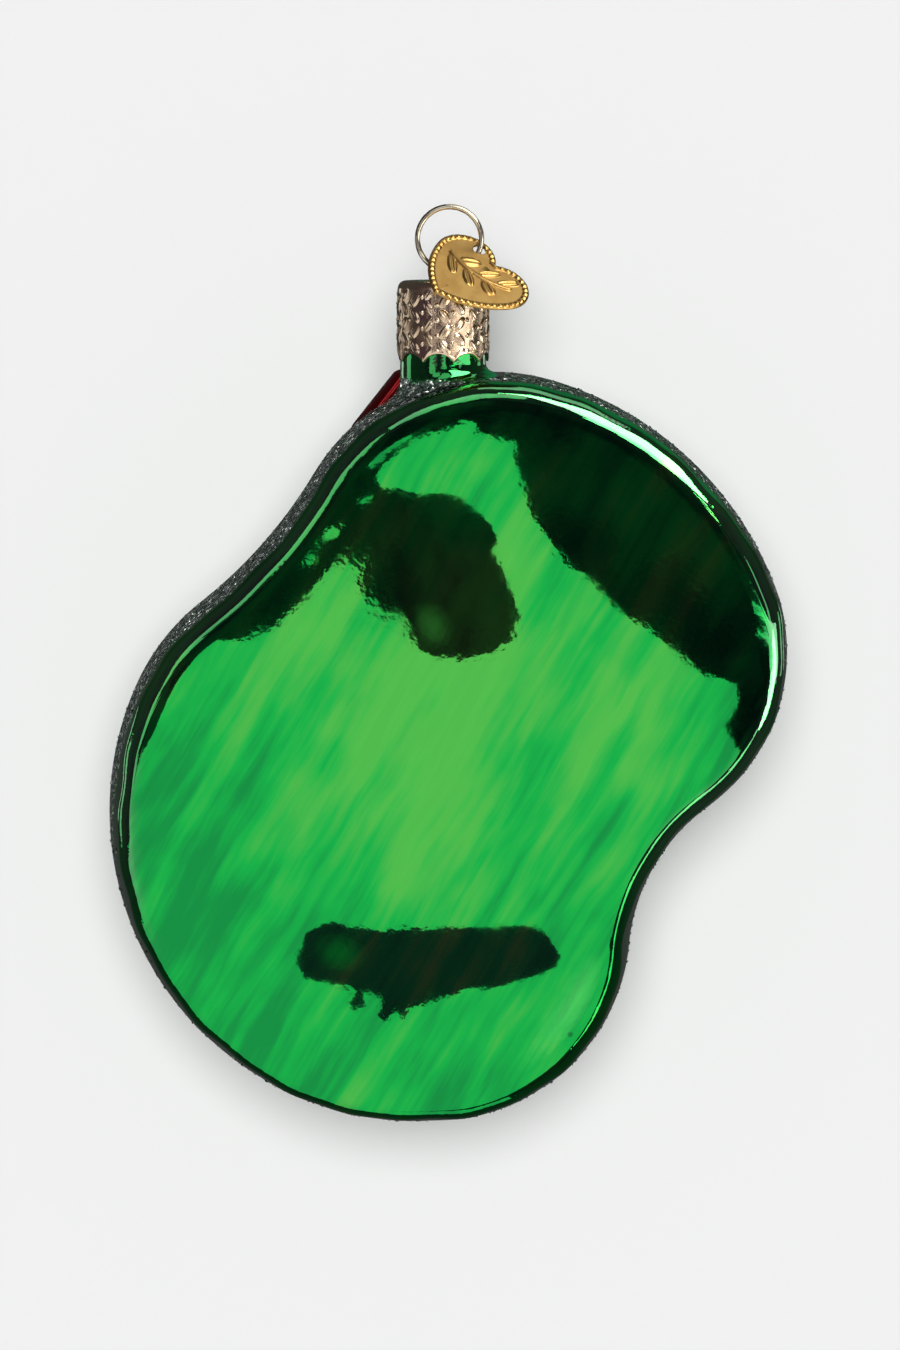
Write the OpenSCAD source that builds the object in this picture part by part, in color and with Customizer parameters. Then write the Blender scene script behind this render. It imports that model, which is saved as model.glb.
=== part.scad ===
// Blown-glass putting green ornament: a hollow kidney-shaped bulb with a moulded
// flag, flagstick, cup and ball, a stamped cap, a sprung wire hanger and a loose
// heart-shaped tag. Millimetres, +Z up. The flat mirrored back faces -Y and the
// decorated front faces +Y. The origin is the inside top of the hanging loop.

/* [Body] */
// Height of the moulded body, from the shoulder under the neck to the bottom
body_height = 82.6; // [62:0.1:110]
// Glass thickness
glass_wall = 0.9; // [0.7:0.05:1.4]
// Neck axis to the crown of the flat back
back_depth = 10; // [8.5:0.1:13]
// How far the back face swells from its edge to its crown
back_crown = 1.2; // [0.4:0.1:2]
// Radius of the edge round the back face
back_round = 2; // [1.5:0.1:4]
// Angle at which the side wall opens from the back towards the widest line
wall_flare = 8; // [6:1:18]
// Neck axis to the widest line, towards the front
rim_depth = 3.5; // [2:0.1:5]
// Rise of the rounded front edge in front of the widest line
front_rise = 3.5; // [2.5:0.1:5]
// Width of the rounded front edge
front_round = 6; // [4:0.1:8]
// How far the putting surface swells inside that edge
front_crown = 2.3; // [1:0.1:4]

/* [Outline] */
// The outline and the places of the relief are drawn for a body of this height
drawn_height = 82.6; // [62:0.1:110]
// Right lobe: centre from the neck axis and the shoulder, and radius
lobe_right = [17.4, -30.5, 21.0];
// Top lobe, under the neck
lobe_top = [5.7, -22.6, 23.3];
// Left lobe
lobe_left = [-12.1, -43.8, 24.0];
// Heel lobe, at the bottom
lobe_heel = [-0.8, -60.8, 21.8];
// Radius of the convex arc from the right lobe to the top lobe
bridge_crest = 38; // [30:0.5:60]
// Radius of the hollow arc of the left waist
bridge_waist = 52.8; // [35:0.2:80]
// Radius of the convex arc along the bottom left
bridge_belly = 34.5; // [28:0.5:50]
// Radius of the hollow arc of the right notch
bridge_notch = 21.2; // [14:0.2:30]

/* [Front relief] */
// Cup centre from the neck axis and the shoulder
cup_at = [-2.5, -53];
// Cup bore
cup_d = 9; // [7:0.1:11]
// Cup depth below the surface
cup_depth = 1.6; // [1:0.1:2.5]
// Thickness of the lip round the cup
cup_lip = 0.9; // [0.5:0.1:1.4]
// Ball centre from the neck axis and the shoulder
ball_at = [7.6, -60];
// Ball diameter
ball_d = 9.4; // [7:0.1:11]
// Height of the ball above the putting surface
ball_proud = 3.6; // [2.5:0.1:4.5]
// Flagstick thickness
stick_d = 2; // [1.4:0.1:2.6]
// Top of the flagstick from the neck axis and the shoulder
stick_top = [2.2, -0.6];
// Flag corners from the neck axis and the shoulder, hoist top first
flag_hoist_top = [1.7, -1.1];
// Fly edge, top corner
flag_fly_top = [-4.4, -0.4];
// Fly edge, lower corner
flag_fly_low = [-8.8, -6.0];
// Hoist, lower corner
flag_hoist_low = [1.2, -12.2];
// Radius of the flag's soft corners
flag_round = 1.3; // [0.6:0.1:1.6]
// Thickness of the flag relief
flag_thick = 3; // [2.4:0.1:4]
// Half the depth of the wave in the flag
flag_wave = 0.6; // [0.2:0.1:0.9]

/* [Neck and cap] */
// Outside diameter of the stamped cap
cap_d = 10.3; // [9.6:0.1:12]
// Height of the cap
cap_height = 9; // [7:0.1:10]
// Sheet thickness of the cap
cap_wall = 0.3; // [0.2:0.05:0.4]
// Radius of the cap's top edge
cap_round = 0.9; // [0.6:0.1:1.2]
// Radial gap between the cap and the glass neck
cap_clear = 0.1; // [0.05:0.01:0.15]
// Hole in the cap for both legs of the hanger
cap_hole_d = 2.8; // [2.5:0.1:3.2]
// Number of scallops round the skirt
scallops = 9; // [8:1:14]
// Depth of each scallop
scallop_depth = 1; // [0.3:0.1:1]
// Angle at which the scallops start round the neck
scallop_turn = 21.7; // [0:0.1:45]
// Bare neck between the skirt and the shoulder
collar = 1.95; // [1.2:0.05:3]
// Radius of the fillet between neck and shoulder
neck_fillet = 4; // [3:0.1:5]
// How far that fillet reaches out from the neck before the body takes over
neck_reach = 1.45; // [1:0.05:1.6]
// Radius of the melted rim of the neck
rim_round = 0.5; // [0.3:0.05:0.7]
// Gap between the neck's rim and the underside of the cap
rim_gap = 0.1; // [0.05:0.01:0.2]

/* [Hanger wire] */
// Wire diameter
wire_d = 0.6; // [0.5:0.05:0.8]
// Centre-line diameter of the hanging loop
loop_d = 7.1; // [6.4:0.1:9]
// Height of the loop's centre above the cap
loop_rise = 4.6; // [4.4:0.1:5.6]
// How far the loop leans to one side of the neck axis
loop_offset = 0.72; // [0:0.02:1]
// Bend radius where the loop turns into its legs
loop_bend = 1.2; // [1:0.1:1.6]
// Distance between the legs where they pass the cap
leg_gap = 1.2; // [1:0.1:1.4]
// Spread of each leg inside the neck
leg_spread = 16; // [14:1:20]
// Gap between the leg ends and the neck bore
leg_clear = 0.1; // [0.05:0.01:0.3]

/* [Tag] */
// Lobe radius of the heart
tag_lobe = 3.46; // [3.2:0.02:4]
// Lobe centre from the middle line
tag_half = 2.8; // [2.5:0.05:3.1]
// Radius of the heart's sides
tag_side = 10.4; // [9:0.1:12]
// Angle at which each side leaves its lobe
tag_turn = 19; // [12:1:24]
// Sheet thickness of the tag
tag_thick = 0.3; // [0.25:0.05:0.4]
// Width of the raised border
tag_border = 0.7; // [0.5:0.05:1]
// Height of the raised border
tag_raise = 0.2; // [0.1:0.05:0.3]
// Hole for the loop
tag_hole_d = 1.7; // [1.6:0.05:2]
// Hole centre from the middle line and the line through the lobe centres
tag_hole_at = [-2.8, 2.15];
// Where the tag hangs, as an angle on the loop
tag_on_loop = -21.3; // [-30:0.5:-15]
// Roll and turn of the tag as it leans on the edge of the cap
tag_rest = [37.2, -36.9];
// Gap between the tag and the edge it leans on
tag_clear = 0.165; // [0.1:0.005:0.3]

/* [Hidden] */
$fn = 96;
eps = 0.01;
// Distance between points on the outline, and rings on each rounded edge, outside and inside
outer_gap = 2.7;
outer_rings = 4;
cavity_gap = 5.5;
cavity_rings = 2;

// Heights, worked down from the inside top of the loop
loop_r = loop_d / 2;
loop_z = -(loop_r - wire_d / 2);
cap_z = loop_z - loop_rise;
shoulder_z = cap_z - cap_height - collar;
neck_x = -loop_offset;
neck_r = cap_d / 2 - cap_wall - cap_clear;
bore_r = neck_r - glass_wall;
neck_top = cap_z - cap_wall - rim_gap;

// Outline: four lobes joined by four tangent arcs, two of them hollow
grown = body_height / drawn_height;
lobes = [lobe_right, lobe_top, lobe_left, lobe_heel] * grown;
bridges = [bridge_crest, -bridge_waist, bridge_belly, -bridge_notch] * grown;
function spot(lobe) = [lobe[0], lobe[1]];
function reach(lobe, r) = r > 0 ? r - lobe[2] : lobe[2] - r;
function bridge_centre(a, b, r) =
    let (v = spot(b) - spot(a), d = norm(v), ra = reach(a, r), rb = reach(b, r),
         t = (ra * ra - rb * rb + d * d) / (2 * d), h = sqrt(ra * ra - t * t) * sign(r))
    spot(a) + v * t / d + [-v[1], v[0]] * h / d;
bridge_at = [for (i = [0:3]) bridge_centre(lobes[i], lobes[(i + 1) % 4], bridges[i])];
function aim(from, to) = atan2(to[1] - from[1], to[0] - from[0]);
function turn(a) = a - 360 * floor(a / 360);
// Angle at which lobe i meets bridge j, seen from the lobe
function meets(i, j) =
    bridges[j] > 0 ? aim(bridge_at[j], spot(lobes[i])) : aim(spot(lobes[i]), bridge_at[j]);
function arc(at, r, from, sweep, steps) =
    [for (k = [0:steps - 1]) at + r * [cos(from + sweep * k / steps), sin(from + sweep * k / steps)]];
function lobe_from(i) = meets(i, (i + 3) % 4);
function lobe_sweep(i) = turn(meets(i, i) - lobe_from(i));
function bridge_sweep(i) =
    let (from = meets(i, i), to = meets((i + 1) % 4, i)) bridges[i] > 0 ? turn(to - from) : -turn(from - to);
function steps(sweep, r, gap) = max(2, round(abs(sweep * r) * PI / 180 / gap));
function lobe_arc(i, inset, gap) =
    arc(spot(lobes[i]), lobes[i][2] - inset, lobe_from(i), lobe_sweep(i),
        steps(lobe_sweep(i), lobes[i][2], gap));
function bridge_arc(i, inset, gap) =
    arc(bridge_at[i], abs(bridges[i] - inset), meets(i, i) + (bridges[i] > 0 ? 0 : 180), bridge_sweep(i),
        steps(bridge_sweep(i), bridges[i], gap));
function outline(inset, gap) =
    [for (i = [0:3]) each concat(lobe_arc(i, inset, gap), bridge_arc(i, inset, gap))];
middle = [4.1, -42.3] * grown;

// Rings of the body as [inset from the widest line, share of that outline kept, y], back to front
function rings(w, n) =
    let (edge_y = back_crown - back_depth,
         turn_y = edge_y + back_round * (1 - sin(wall_flare)),
         flare = tan(wall_flare) * (rim_depth - turn_y) / 2,
         edge_in = flare + back_round * cos(wall_flare), lip = 75,
         front_in = front_round * (1 - cos(lip)), front_y = rim_depth + front_rise * sin(lip))
    concat(
        [for (k = [0.3, 0.65]) [edge_in, k, edge_y + w - back_crown * (1 - k * k)]],
        [for (a = [0:(90 - wall_flare) / n:90 - wall_flare + eps])
            [edge_in - back_round * sin(a) + w * sin(a), 1, edge_y + back_round * (1 - cos(a)) + w * cos(a)]],
        [for (s = [0.67, 0.33]) [flare * s * s + w, 1, rim_depth - (rim_depth - turn_y) * s]],
        [for (b = [0:lip / n:lip + eps])
            [front_round * (1 - cos(b)) + w * cos(b), 1, rim_depth + front_rise * sin(b) - w * sin(b)]],
        [for (k = [0.65, 0.3]) [front_in, k, front_y - w + front_crown * (1 - k * k)]]);

module loft(w, gap, edge) {
    list = rings(w, edge);
    n = len(outline(0, gap));
    m = len(list);
    points = concat(
        [for (ring = list) for (p = outline(ring[0], gap))
            let (q = middle + (p - middle) * ring[1]) [q[0], ring[2], q[1]]],
        [[middle[0], w - back_depth, middle[1]], [middle[0], front_y_mid - w, middle[1]]]);
    polyhedron(points, concat(
        [for (j = [0:m - 2]) for (i = [0:n - 1]) [j * n + i, j * n + (i + 1) % n, (j + 1) * n + i]],
        [for (j = [0:m - 2]) for (i = [0:n - 1])
            [j * n + (i + 1) % n, (j + 1) * n + (i + 1) % n, (j + 1) * n + i]],
        [for (i = [0:n - 1]) [m * n, (i + 1) % n, i]],
        [for (i = [0:n - 1]) [m * n + 1, (m - 1) * n + i, (m - 1) * n + (i + 1) % n]]));
}

lip_y = rim_depth + front_rise * sin(75);
front_y_mid = lip_y + front_crown;
// The putting surface is about this deep at the cup and the ball
green_y = front_y_mid - 0.15 * front_crown;

// Where the relief stands on the front
cup = cup_at * grown;
ball = ball_at * grown;
stick = stick_top * grown;
flag = [flag_hoist_top, flag_fly_top, flag_fly_low, flag_hoist_low] * grown;

// Where the tag hangs on the wire, and the lean at which it rests on the cap's rounded edge
hang_at = [loop_r * cos(tag_on_loop), 0, loop_z + loop_r * sin(tag_on_loop)];
function tag_normal(lean) =
    let (roll = tag_rest[0], yaw = tag_rest[1])
    cos(lean) * [sin(yaw), -cos(yaw), 0]
        + sin(lean) * [cos(yaw) * sin(roll), sin(yaw) * sin(roll), cos(roll)];
function tag_room(lean) =
    let (n = tag_normal(lean), edge = [neck_x, 0, cap_z - cap_round])
    n * (hang_at - edge) - (cap_d / 2 - cap_round) * norm([n[0], n[1]]) - cap_round - tag_thick / 2;
function leaning(low, high, tries) =
    let (mid = (low + high) / 2)
    tries == 0 ? mid
        : tag_room(mid) < tag_clear ? leaning(mid, high, tries - 1) : leaning(low, mid, tries - 1);
tag_lean = leaning(30, 90, 40);

module at_neck(z = 0) {
    translate([neck_x, 0, z]) children();
}

// A point of the front relief, y measured from the neck axis
module on_front(at, y) {
    translate([at[0], y, at[1]]) children();
}

module rod(from, to, d) {
    v = to - from;
    translate(from) rotate([0, acos(v[2] / norm(v)), atan2(v[1], v[0])]) cylinder(h = norm(v), d = d);
}

// Flared root of the neck, tipped to follow the slope of the shoulder. Its top runs
// a little inside the neck, so that the two meet at an angle, and ends under the skirt.
root_top = collar - 0.05;
module neck_root() {
    sunk = 3.2;
    rise = sunk + 1;
    tilt = asin(lobe_top[0] / lobe_top[2]);
    intersection() {
        rotate([0, -tilt, 0]) translate([0, 0, -sunk]) rotate_extrude($fn = 40) difference() {
            square([neck_r + neck_reach, rise]);
            translate([neck_r + neck_fillet - 0.25, rise]) circle(neck_fillet, $fn = 48);
        }
        translate([-20, -20, root_top - 20]) cube([40, 40, 20]);
    }
}

// Flag outline with soft corners
module flag_shape() {
    polygon(flag);
    for (i = [0:3]) translate(flag[i]) circle(flag_round);
    for (i = [0:3]) {
        v = flag[(i + 1) % 4] - flag[i];
        translate(flag[i]) rotate(atan2(v[1], v[0])) translate([0, -flag_round])
            square([norm(v), 2 * flag_round]);
    }
}

// Waved sheet that the flag is cut from, tipped to lie on the front's rounded edge
module flag_sheet() {
    half = 14;
    back = lip_y - flag_thick + 0.5;
    translate([0, back, 0]) rotate([7, 0, 0]) translate([0, 0, -half - 4]) linear_extrude(2 * half)
        polygon(concat(
            [for (s = [0:20]) [half * (1 - s / 10), flag_thick + flag_wave * sin(s * 54)]],
            [[-half, 0], [half, 0]]));
}

module relief() {
    mid_y = front_y_mid - 0.3 * front_crown;
    foot = [cup[0], green_y + 0.4, cup[1]];
    bend_at = stick + (cup - stick) * 0.4;
    bend = [bend_at[0], mid_y + 0.4, bend_at[1]];
    tip = [stick[0], lip_y + 0.3, stick[1]];
    rod(foot, bend, stick_d, $fn = 12);
    translate(bend) sphere(d = stick_d, $fn = 12);
    rod(bend, tip, stick_d, $fn = 12);
    translate(tip) sphere(d = stick_d, $fn = 12);
    intersection() {
        flag_sheet();
        rotate([90, 0, 0]) translate([0, 0, -30]) linear_extrude(30) flag_shape($fn = 16);
    }
    on_front(ball, green_y + ball_proud - ball_d / 2) sphere(d = ball_d, $fn = 28);
    on_front(cup, green_y) rotate([90, 0, 0]) rotate_extrude($fn = 32)
        translate([cup_d / 2 + cup_lip / 2, 0]) circle(d = cup_lip, $fn = 10);
}

// Hollow moulded body, brought to its exact height
module moulded() {
    resize([0, 0, body_height + root_top], auto = true) difference() {
        union() {
            loft(0, outer_gap, outer_rings);
            neck_root();
            relief();
        }
        difference() {
            loft(glass_wall, cavity_gap, cavity_rings);
            on_front(cup, green_y) rotate([90, 0, 0]) translate([0, 0, -5])
                cylinder(h = 5 + cup_depth + glass_wall, d = cup_d + 2 * glass_wall, $fn = 32);
        }
        on_front(cup, green_y) rotate([90, 0, 0]) translate([0, 0, -8])
            cylinder(h = 8 + cup_depth, d = cup_d, $fn = 32);
        translate([0, 0, -6]) cylinder(h = 12, r = bore_r - 0.6, $fn = 24);
    }
}

// Solid neck with a melted rim
module neck() {
    h = neck_top - shoulder_z + 3;
    translate([0, 0, -3]) rotate_extrude() {
        square([neck_r - rim_round, h]);
        square([neck_r, h - rim_round]);
        translate([neck_r - rim_round, h - rim_round]) circle(rim_round);
    }
}

// One blown piece: body, neck and all of the moulded relief
module glass_bulb() {
    color([0.10, 0.62, 0.22]) at_neck(shoulder_z) difference() {
        union() {
            moulded();
            neck();
        }
        translate([0, 0, -6]) cylinder(h = neck_top - shoulder_z + 7, r = bore_r);
    }
}

module cap_profile(inset) {
    r = cap_d / 2 - inset;
    h = cap_height - inset;
    soft = cap_round - inset;
    square([r - soft, h]);
    square([r, h - soft]);
    translate([r - soft, h - soft]) circle(soft);
}

module cap() {
    span = PI * cap_d / scallops;
    r = (span * span / 4 + scallop_depth * scallop_depth) / (2 * scallop_depth);
    color([0.80, 0.72, 0.52]) at_neck(cap_z - cap_height) difference() {
        rotate_extrude() difference() {
            cap_profile(0);
            cap_profile(cap_wall);
        }
        translate([0, 0, cap_height - 2]) cylinder(h = 4, d = cap_hole_d);
        for (i = [0:scallops - 1]) rotate([0, 90, scallop_turn + i * 360 / scallops])
            translate([r - scallop_depth, 0, 2]) cylinder(h = cap_d, r = r);
    }
}

// Arc of wire in the plane of the loop
module wire_arc(at, r, from, sweep) {
    translate([at[0], 0, at[1]]) rotate([90, 0, 0]) rotate([0, 0, from]) rotate_extrude(angle = sweep)
        translate([r, 0]) circle(d = wire_d, $fn = 32);
}

// Bead that closes the joint between two lengths of wire
module wire_joint(at) {
    translate([at[0], 0, at[1]]) sphere(d = wire_d + 0.02, $fn = 32);
}

// One leg, from where it turns straight down to its sprung end, in the neck's own frame
module wire_leg(top) {
    spread_z = cap_z - 1;
    spread_r = 3;
    room = bore_r - leg_clear - wire_d / 2 - leg_gap / 2 - spread_r * (1 - cos(leg_spread));
    out = [leg_gap / 2 + spread_r * (1 - cos(leg_spread)), spread_z - spread_r * sin(leg_spread)];
    wire_joint([leg_gap / 2, top]);
    translate([leg_gap / 2, 0, spread_z]) cylinder(h = top - spread_z, d = wire_d, $fn = 32);
    wire_joint([leg_gap / 2, spread_z]);
    wire_arc([leg_gap / 2 + spread_r, spread_z], spread_r, 180, leg_spread);
    wire_joint(out);
    translate([out[0], 0, out[1]]) rotate([0, 180 - leg_spread, 0])
        cylinder(h = room / sin(leg_spread), d = wire_d, $fn = 32);
}

// One sprung wire: a round loop whose two ends run down through the cap and spread in the neck
module hanger_wire() {
    out = loop_r + loop_bend;
    right = asin((leg_gap / 2 + loop_bend - loop_offset) / out);
    left = asin((leg_gap / 2 + loop_bend + loop_offset) / out);
    color([0.82, 0.76, 0.60]) {
        wire_arc([0, loop_z], loop_r, right - 90, 360 - right - left);
        wire_joint([loop_r * sin(right), loop_z - loop_r * cos(right)]);
        wire_joint([-loop_r * sin(left), loop_z - loop_r * cos(left)]);
        wire_arc([out * sin(right), loop_z - out * cos(right)], loop_bend, 90 + right, 90 - right);
        wire_arc([-out * sin(left), loop_z - out * cos(left)], loop_bend, 0, 90 - left);
        at_neck() wire_leg(loop_z - out * cos(right));
        at_neck() mirror([1, 0, 0]) wire_leg(loop_z - out * cos(left));
    }
}

// Heart outline, drawn in by inset all round
module heart(inset) {
    hub = tag_side - tag_lobe;
    for (s = [-1, 1]) translate([s * tag_half, 0]) circle(tag_lobe - inset);
    intersection() {
        translate([tag_half - hub * cos(tag_turn), hub * sin(tag_turn)]) circle(tag_side - inset);
        translate([hub * cos(tag_turn) - tag_half, hub * sin(tag_turn)]) circle(tag_side - inset);
        translate([-10, -20 - tag_lobe * sin(tag_turn)]) square([20, 20]);
    }
}

module tag() {
    color([0.86, 0.68, 0.26])
        translate(hang_at) rotate([-tag_lean, tag_rest[0], tag_rest[1]]) rotate([90, 0, 0])
        translate([-tag_hole_at[0], -tag_hole_at[1], -tag_thick / 2]) difference() {
            union() {
                linear_extrude(tag_thick) heart(0);
                linear_extrude(tag_thick + tag_raise) difference() {
                    heart(0);
                    heart(tag_border);
                }
            }
            translate([tag_hole_at[0], tag_hole_at[1], -1]) cylinder(h = 3, d = tag_hole_d);
        }
}

glass_bulb();
cap();
hanger_wire();
tag();
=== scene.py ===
"""Looks of a blown-glass putting green ornament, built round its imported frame.

The file is laid out as an add-on and is run as a script. Lengths are set in metres and
worked in millimetres: x to the right, y away from the viewer, z up, from the inside top of
the hanging loop. The mirrored back faces -y and the decorated front faces +y.
"""

import math
import random
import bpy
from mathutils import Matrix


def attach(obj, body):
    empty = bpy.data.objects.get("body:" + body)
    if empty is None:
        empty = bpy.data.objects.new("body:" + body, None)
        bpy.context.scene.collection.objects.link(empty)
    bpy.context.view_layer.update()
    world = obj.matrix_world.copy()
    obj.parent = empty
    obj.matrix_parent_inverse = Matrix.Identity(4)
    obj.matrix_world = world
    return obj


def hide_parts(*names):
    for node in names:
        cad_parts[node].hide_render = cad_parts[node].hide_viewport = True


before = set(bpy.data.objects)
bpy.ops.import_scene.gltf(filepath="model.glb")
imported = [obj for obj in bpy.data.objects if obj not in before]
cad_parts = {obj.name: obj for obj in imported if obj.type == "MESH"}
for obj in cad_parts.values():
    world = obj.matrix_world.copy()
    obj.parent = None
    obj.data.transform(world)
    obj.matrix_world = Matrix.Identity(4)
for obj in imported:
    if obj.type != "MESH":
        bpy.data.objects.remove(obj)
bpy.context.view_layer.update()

from types import SimpleNamespace

import bmesh
import bpy
import numpy as np
from bpy.props import FloatProperty, FloatVectorProperty, IntProperty, PointerProperty
from mathutils import Matrix, Vector

bl_info = {
    "name": "Putting green ornament",
    "version": (1, 0, 0),
    "blender": (4, 5, 0),
    "location": "View3D > Sidebar > Ornament",
    "description": "Mirrored glass bulb with a stamped cap, a wire hanger and a heart tag",
    "category": "Add Mesh",
}

MM = 0.001
TURN, QUARTER = 2 * math.pi, math.pi / 2


# Sizes and colours that a user would change


def length(name, description, millimetres):
    """A length property with its default in millimetres."""
    return FloatProperty(name=name, description=description, default=millimetres * MM,
                         unit="LENGTH", subtype="DISTANCE", precision=5)


def angle(name, description, degrees):
    """An angle property with its default in degrees."""
    return FloatProperty(name=name, description=description, default=math.radians(degrees), subtype="ANGLE")


def count(name, description, default):
    """A property that counts like things."""
    return IntProperty(name=name, description=description, default=default)


def colour(name, description, default):
    """A linear colour property."""
    return FloatVectorProperty(name=name, description=description, default=default,
                               subtype="COLOR", size=3, min=0, max=1)


class OrnamentBulbSizes(bpy.types.PropertyGroup):
    """Sizes of the glass bulb and the relief on its front"""

    back_depth: length("Back depth", "Neck axis to the crown of the back", 10)
    back_crown: length("Back crown", "Swell of the back face", 1.2)
    back_round: length("Back edge", "Radius of the edge round the back face", 2)
    back_sway: length("Edge sway", "How much the radius of that edge sways", 0.4)
    rim_depth: length("Rim depth", "Neck axis to the widest line", 3.5)
    front_rise: length("Front rise", "Rise of the rounded front edge", 3.5)
    front_round: length("Front edge", "Width of the rounded front edge", 6)
    front_crown: length("Front crown", "Swell of the putting surface", 2.3)
    neck_radius: length("Neck radius", "Outside radius of the neck", 4.75)
    neck_wall: length("Neck wall", "Glass thickness at the neck", 0.9)
    flare: length("Neck flare", "Height of the fillet between neck and shoulder", 1.9)
    ball_diameter: length("Ball", "Diameter of the ball", 9.4)
    ball_proud: length("Ball rise", "Height of the ball above the surface", 3.6)
    cup_diameter: length("Cup", "Bore of the cup", 9)
    cup_depth: length("Cup depth", "Depth of the cup", 1.6)
    cup_lip: length("Cup lip", "Thickness of the lip round the cup", 0.9)
    stick_diameter: length("Flagstick", "Thickness of the flagstick", 2)
    flag_thickness: length("Flag", "Thickness of the flag", 3)
    flag_wave: length("Flag wave", "Half the depth of the wave in the flag", 0.6)
    flag_round: length("Flag corners", "Radius of the flag's corners", 1.3)
    flake: length("Flake", "Radius of the largest glitter flakes", 0.2)
    flakes: count("Flakes", "Loose glitter flakes on the rim", 1300)
    dimples: count("Dimples", "Dimples round the whole ball", 120)


class OrnamentCapSizes(bpy.types.PropertyGroup):
    """Sizes of the stamped cap"""

    radius: length("Radius", "Outside radius of the cap", 5.15)
    height: length("Height", "Height of the cap", 9)
    sheet: length("Sheet", "Sheet thickness", 0.3)
    rounding: length("Top edge", "Radius of the top edge", 0.9)
    hole: length("Hole", "Radius of the hole for the hanger", 1.4)
    scallop_depth: length("Scallop depth", "Depth of each scallop", 1)
    emboss: length("Embossing", "Height of the stamped leaves", 0.24)
    scallops: count("Scallops", "Scallops round the skirt", 9)
    columns: count("Leaf columns", "Columns of stamped leaves", 18)
    ribs: count("Ribs", "Upright ribs between the panels of leaves", 7)
    scallop_turn: angle("Scallop turn", "Angle of the first scallop", 21.7)


class OrnamentWireSizes(bpy.types.PropertyGroup):
    """Sizes of the wire hanger"""

    diameter: length("Wire", "Wire diameter", 0.6)
    loop: length("Loop", "Centre-line diameter of the loop", 7.1)
    offset: length("Offset", "How far the loop leans to one side of the neck", 0.72)
    bend: length("Bend", "Bend radius where the loop turns into its legs", 1.2)
    leg_gap: length("Leg gap", "Distance between the legs at the cap", 1.2)
    leg_reach: length("Leg reach", "Neck axis to the centre line of a leg's end", 3.45)
    leg_spread: angle("Leg spread", "Spread of each leg in the neck", 16)


class OrnamentTagSizes(bpy.types.PropertyGroup):
    """Sizes of the heart tag"""

    lobe: length("Lobe", "Radius of each lobe", 3.46)
    half: length("Half", "Lobe centre from the middle line", 2.8)
    side: length("Side", "Radius of the sides", 10.4)
    sheet: length("Sheet", "Sheet thickness", 0.3)
    border: length("Border", "Width of the beaded border", 0.7)
    bead: length("Bead rise", "Height of the beads", 0.2)
    hole: length("Hole", "Radius of the hole for the loop", 0.75)
    emboss: length("Embossing", "Height of the stamped sprig", 0.26)
    beads: count("Beads", "Beads round the border", 48)
    turn: angle("Side turn", "Angle at which each side leaves its lobe", 19)


class OrnamentColours(bpy.types.PropertyGroup):
    """Colours of the finishes"""

    lacquer: colour("Lacquer", "Middle tone of the green lacquer", (0.011, 0.455, 0.070))
    lacquer_thin: colour("Thin lacquer", "Where the brush left it thin", (0.088, 0.520, 0.078))
    lacquer_thick: colour("Thick lacquer", "Where the brush left it thick", (0.009, 0.240, 0.055))
    glitter: colour("Glitter", "Flakes on the rim", (0.20, 0.27, 0.235))
    rim: colour("Rim", "Lacquer under the glitter", (0.012, 0.034, 0.022))
    green: colour("Putting green", "Satin paint of the front", (0.060, 0.330, 0.040))
    fringe: colour("Fringe", "Rough round the putting green", (0.012, 0.130, 0.030))
    red: colour("Flag", "Red lacquer of the flag", (0.50, 0.010, 0.012))
    white: colour("White", "Ball, stick and lip", (0.82, 0.82, 0.78))
    cup: colour("Cup", "Inside of the cup", (0.012, 0.016, 0.014))
    cap: colour("Cap", "Pale stamped metal", (0.77, 0.60, 0.42))
    wire: colour("Wire", "Plated wire", (0.72, 0.66, 0.50))
    tag: colour("Tag", "Yellow stamped metal", (0.60, 0.37, 0.115))
    backdrop: colour("Backdrop", "Pale floor and backdrop", (0.887, 0.887, 0.887))


class OrnamentSettings(bpy.types.PropertyGroup):
    """All settings of the ornament"""

    bulb: PointerProperty(type=OrnamentBulbSizes)
    cap: PointerProperty(type=OrnamentCapSizes)
    wire: PointerProperty(type=OrnamentWireSizes)
    tag: PointerProperty(type=OrnamentTagSizes)
    colours: PointerProperty(type=OrnamentColours)


def sizes(group):
    """The lengths of a group in millimetres, and its other values as they are."""
    found = SimpleNamespace()
    for name, prop in group.bl_rna.properties.items():
        if prop.type in {"FLOAT", "INT"}:
            value = getattr(group, name)
            setattr(found, name, value / MM if prop.unit == "LENGTH" else value)
    return found


# Places shared with the frame, in millimetres

NECK_X = -0.72
CAP_Z = -7.85
SHOULDER_Z = -18.8
NECK_TOP = -8.25
WALL_FLARE, FRONT_LIP = math.radians(8), math.radians(75)
LOBES = ((17.4, -30.5, 21.0), (5.7, -22.6, 23.3), (-12.1, -43.8, 24.0), (-0.8, -60.8, 21.8))
BRIDGES = (38.0, -52.8, 34.5, -21.2)
HANG_AT = np.array((3.3075, 0.0, -4.5395))
TAG_HOLE = np.array((-2.8, 2.15))
TAG_ROLL, TAG_YAW = math.radians(37.2), math.radians(-36.9)
TAG_GAP = 0.165

# Places measured from the neck axis and the shoulder
MIDDLE = np.array((4.1, -42.3))
CUP_AT = np.array((-2.5, -53.0))
BALL_AT = np.array((7.6, -60.0))
STICK_TOP = np.array((2.2, -0.6))
FLAG_CORNERS = np.array(((1.7, -1.1), (-4.4, -0.4), (-8.8, -6.0), (1.2, -12.2)))
# Below the neck: the lowest height that counts, and how far in the opening and out the bare glass go
UNDER_NECK, BORE_MARGIN, BARE_REACH = -4.0, 0.8, 6.3


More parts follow.
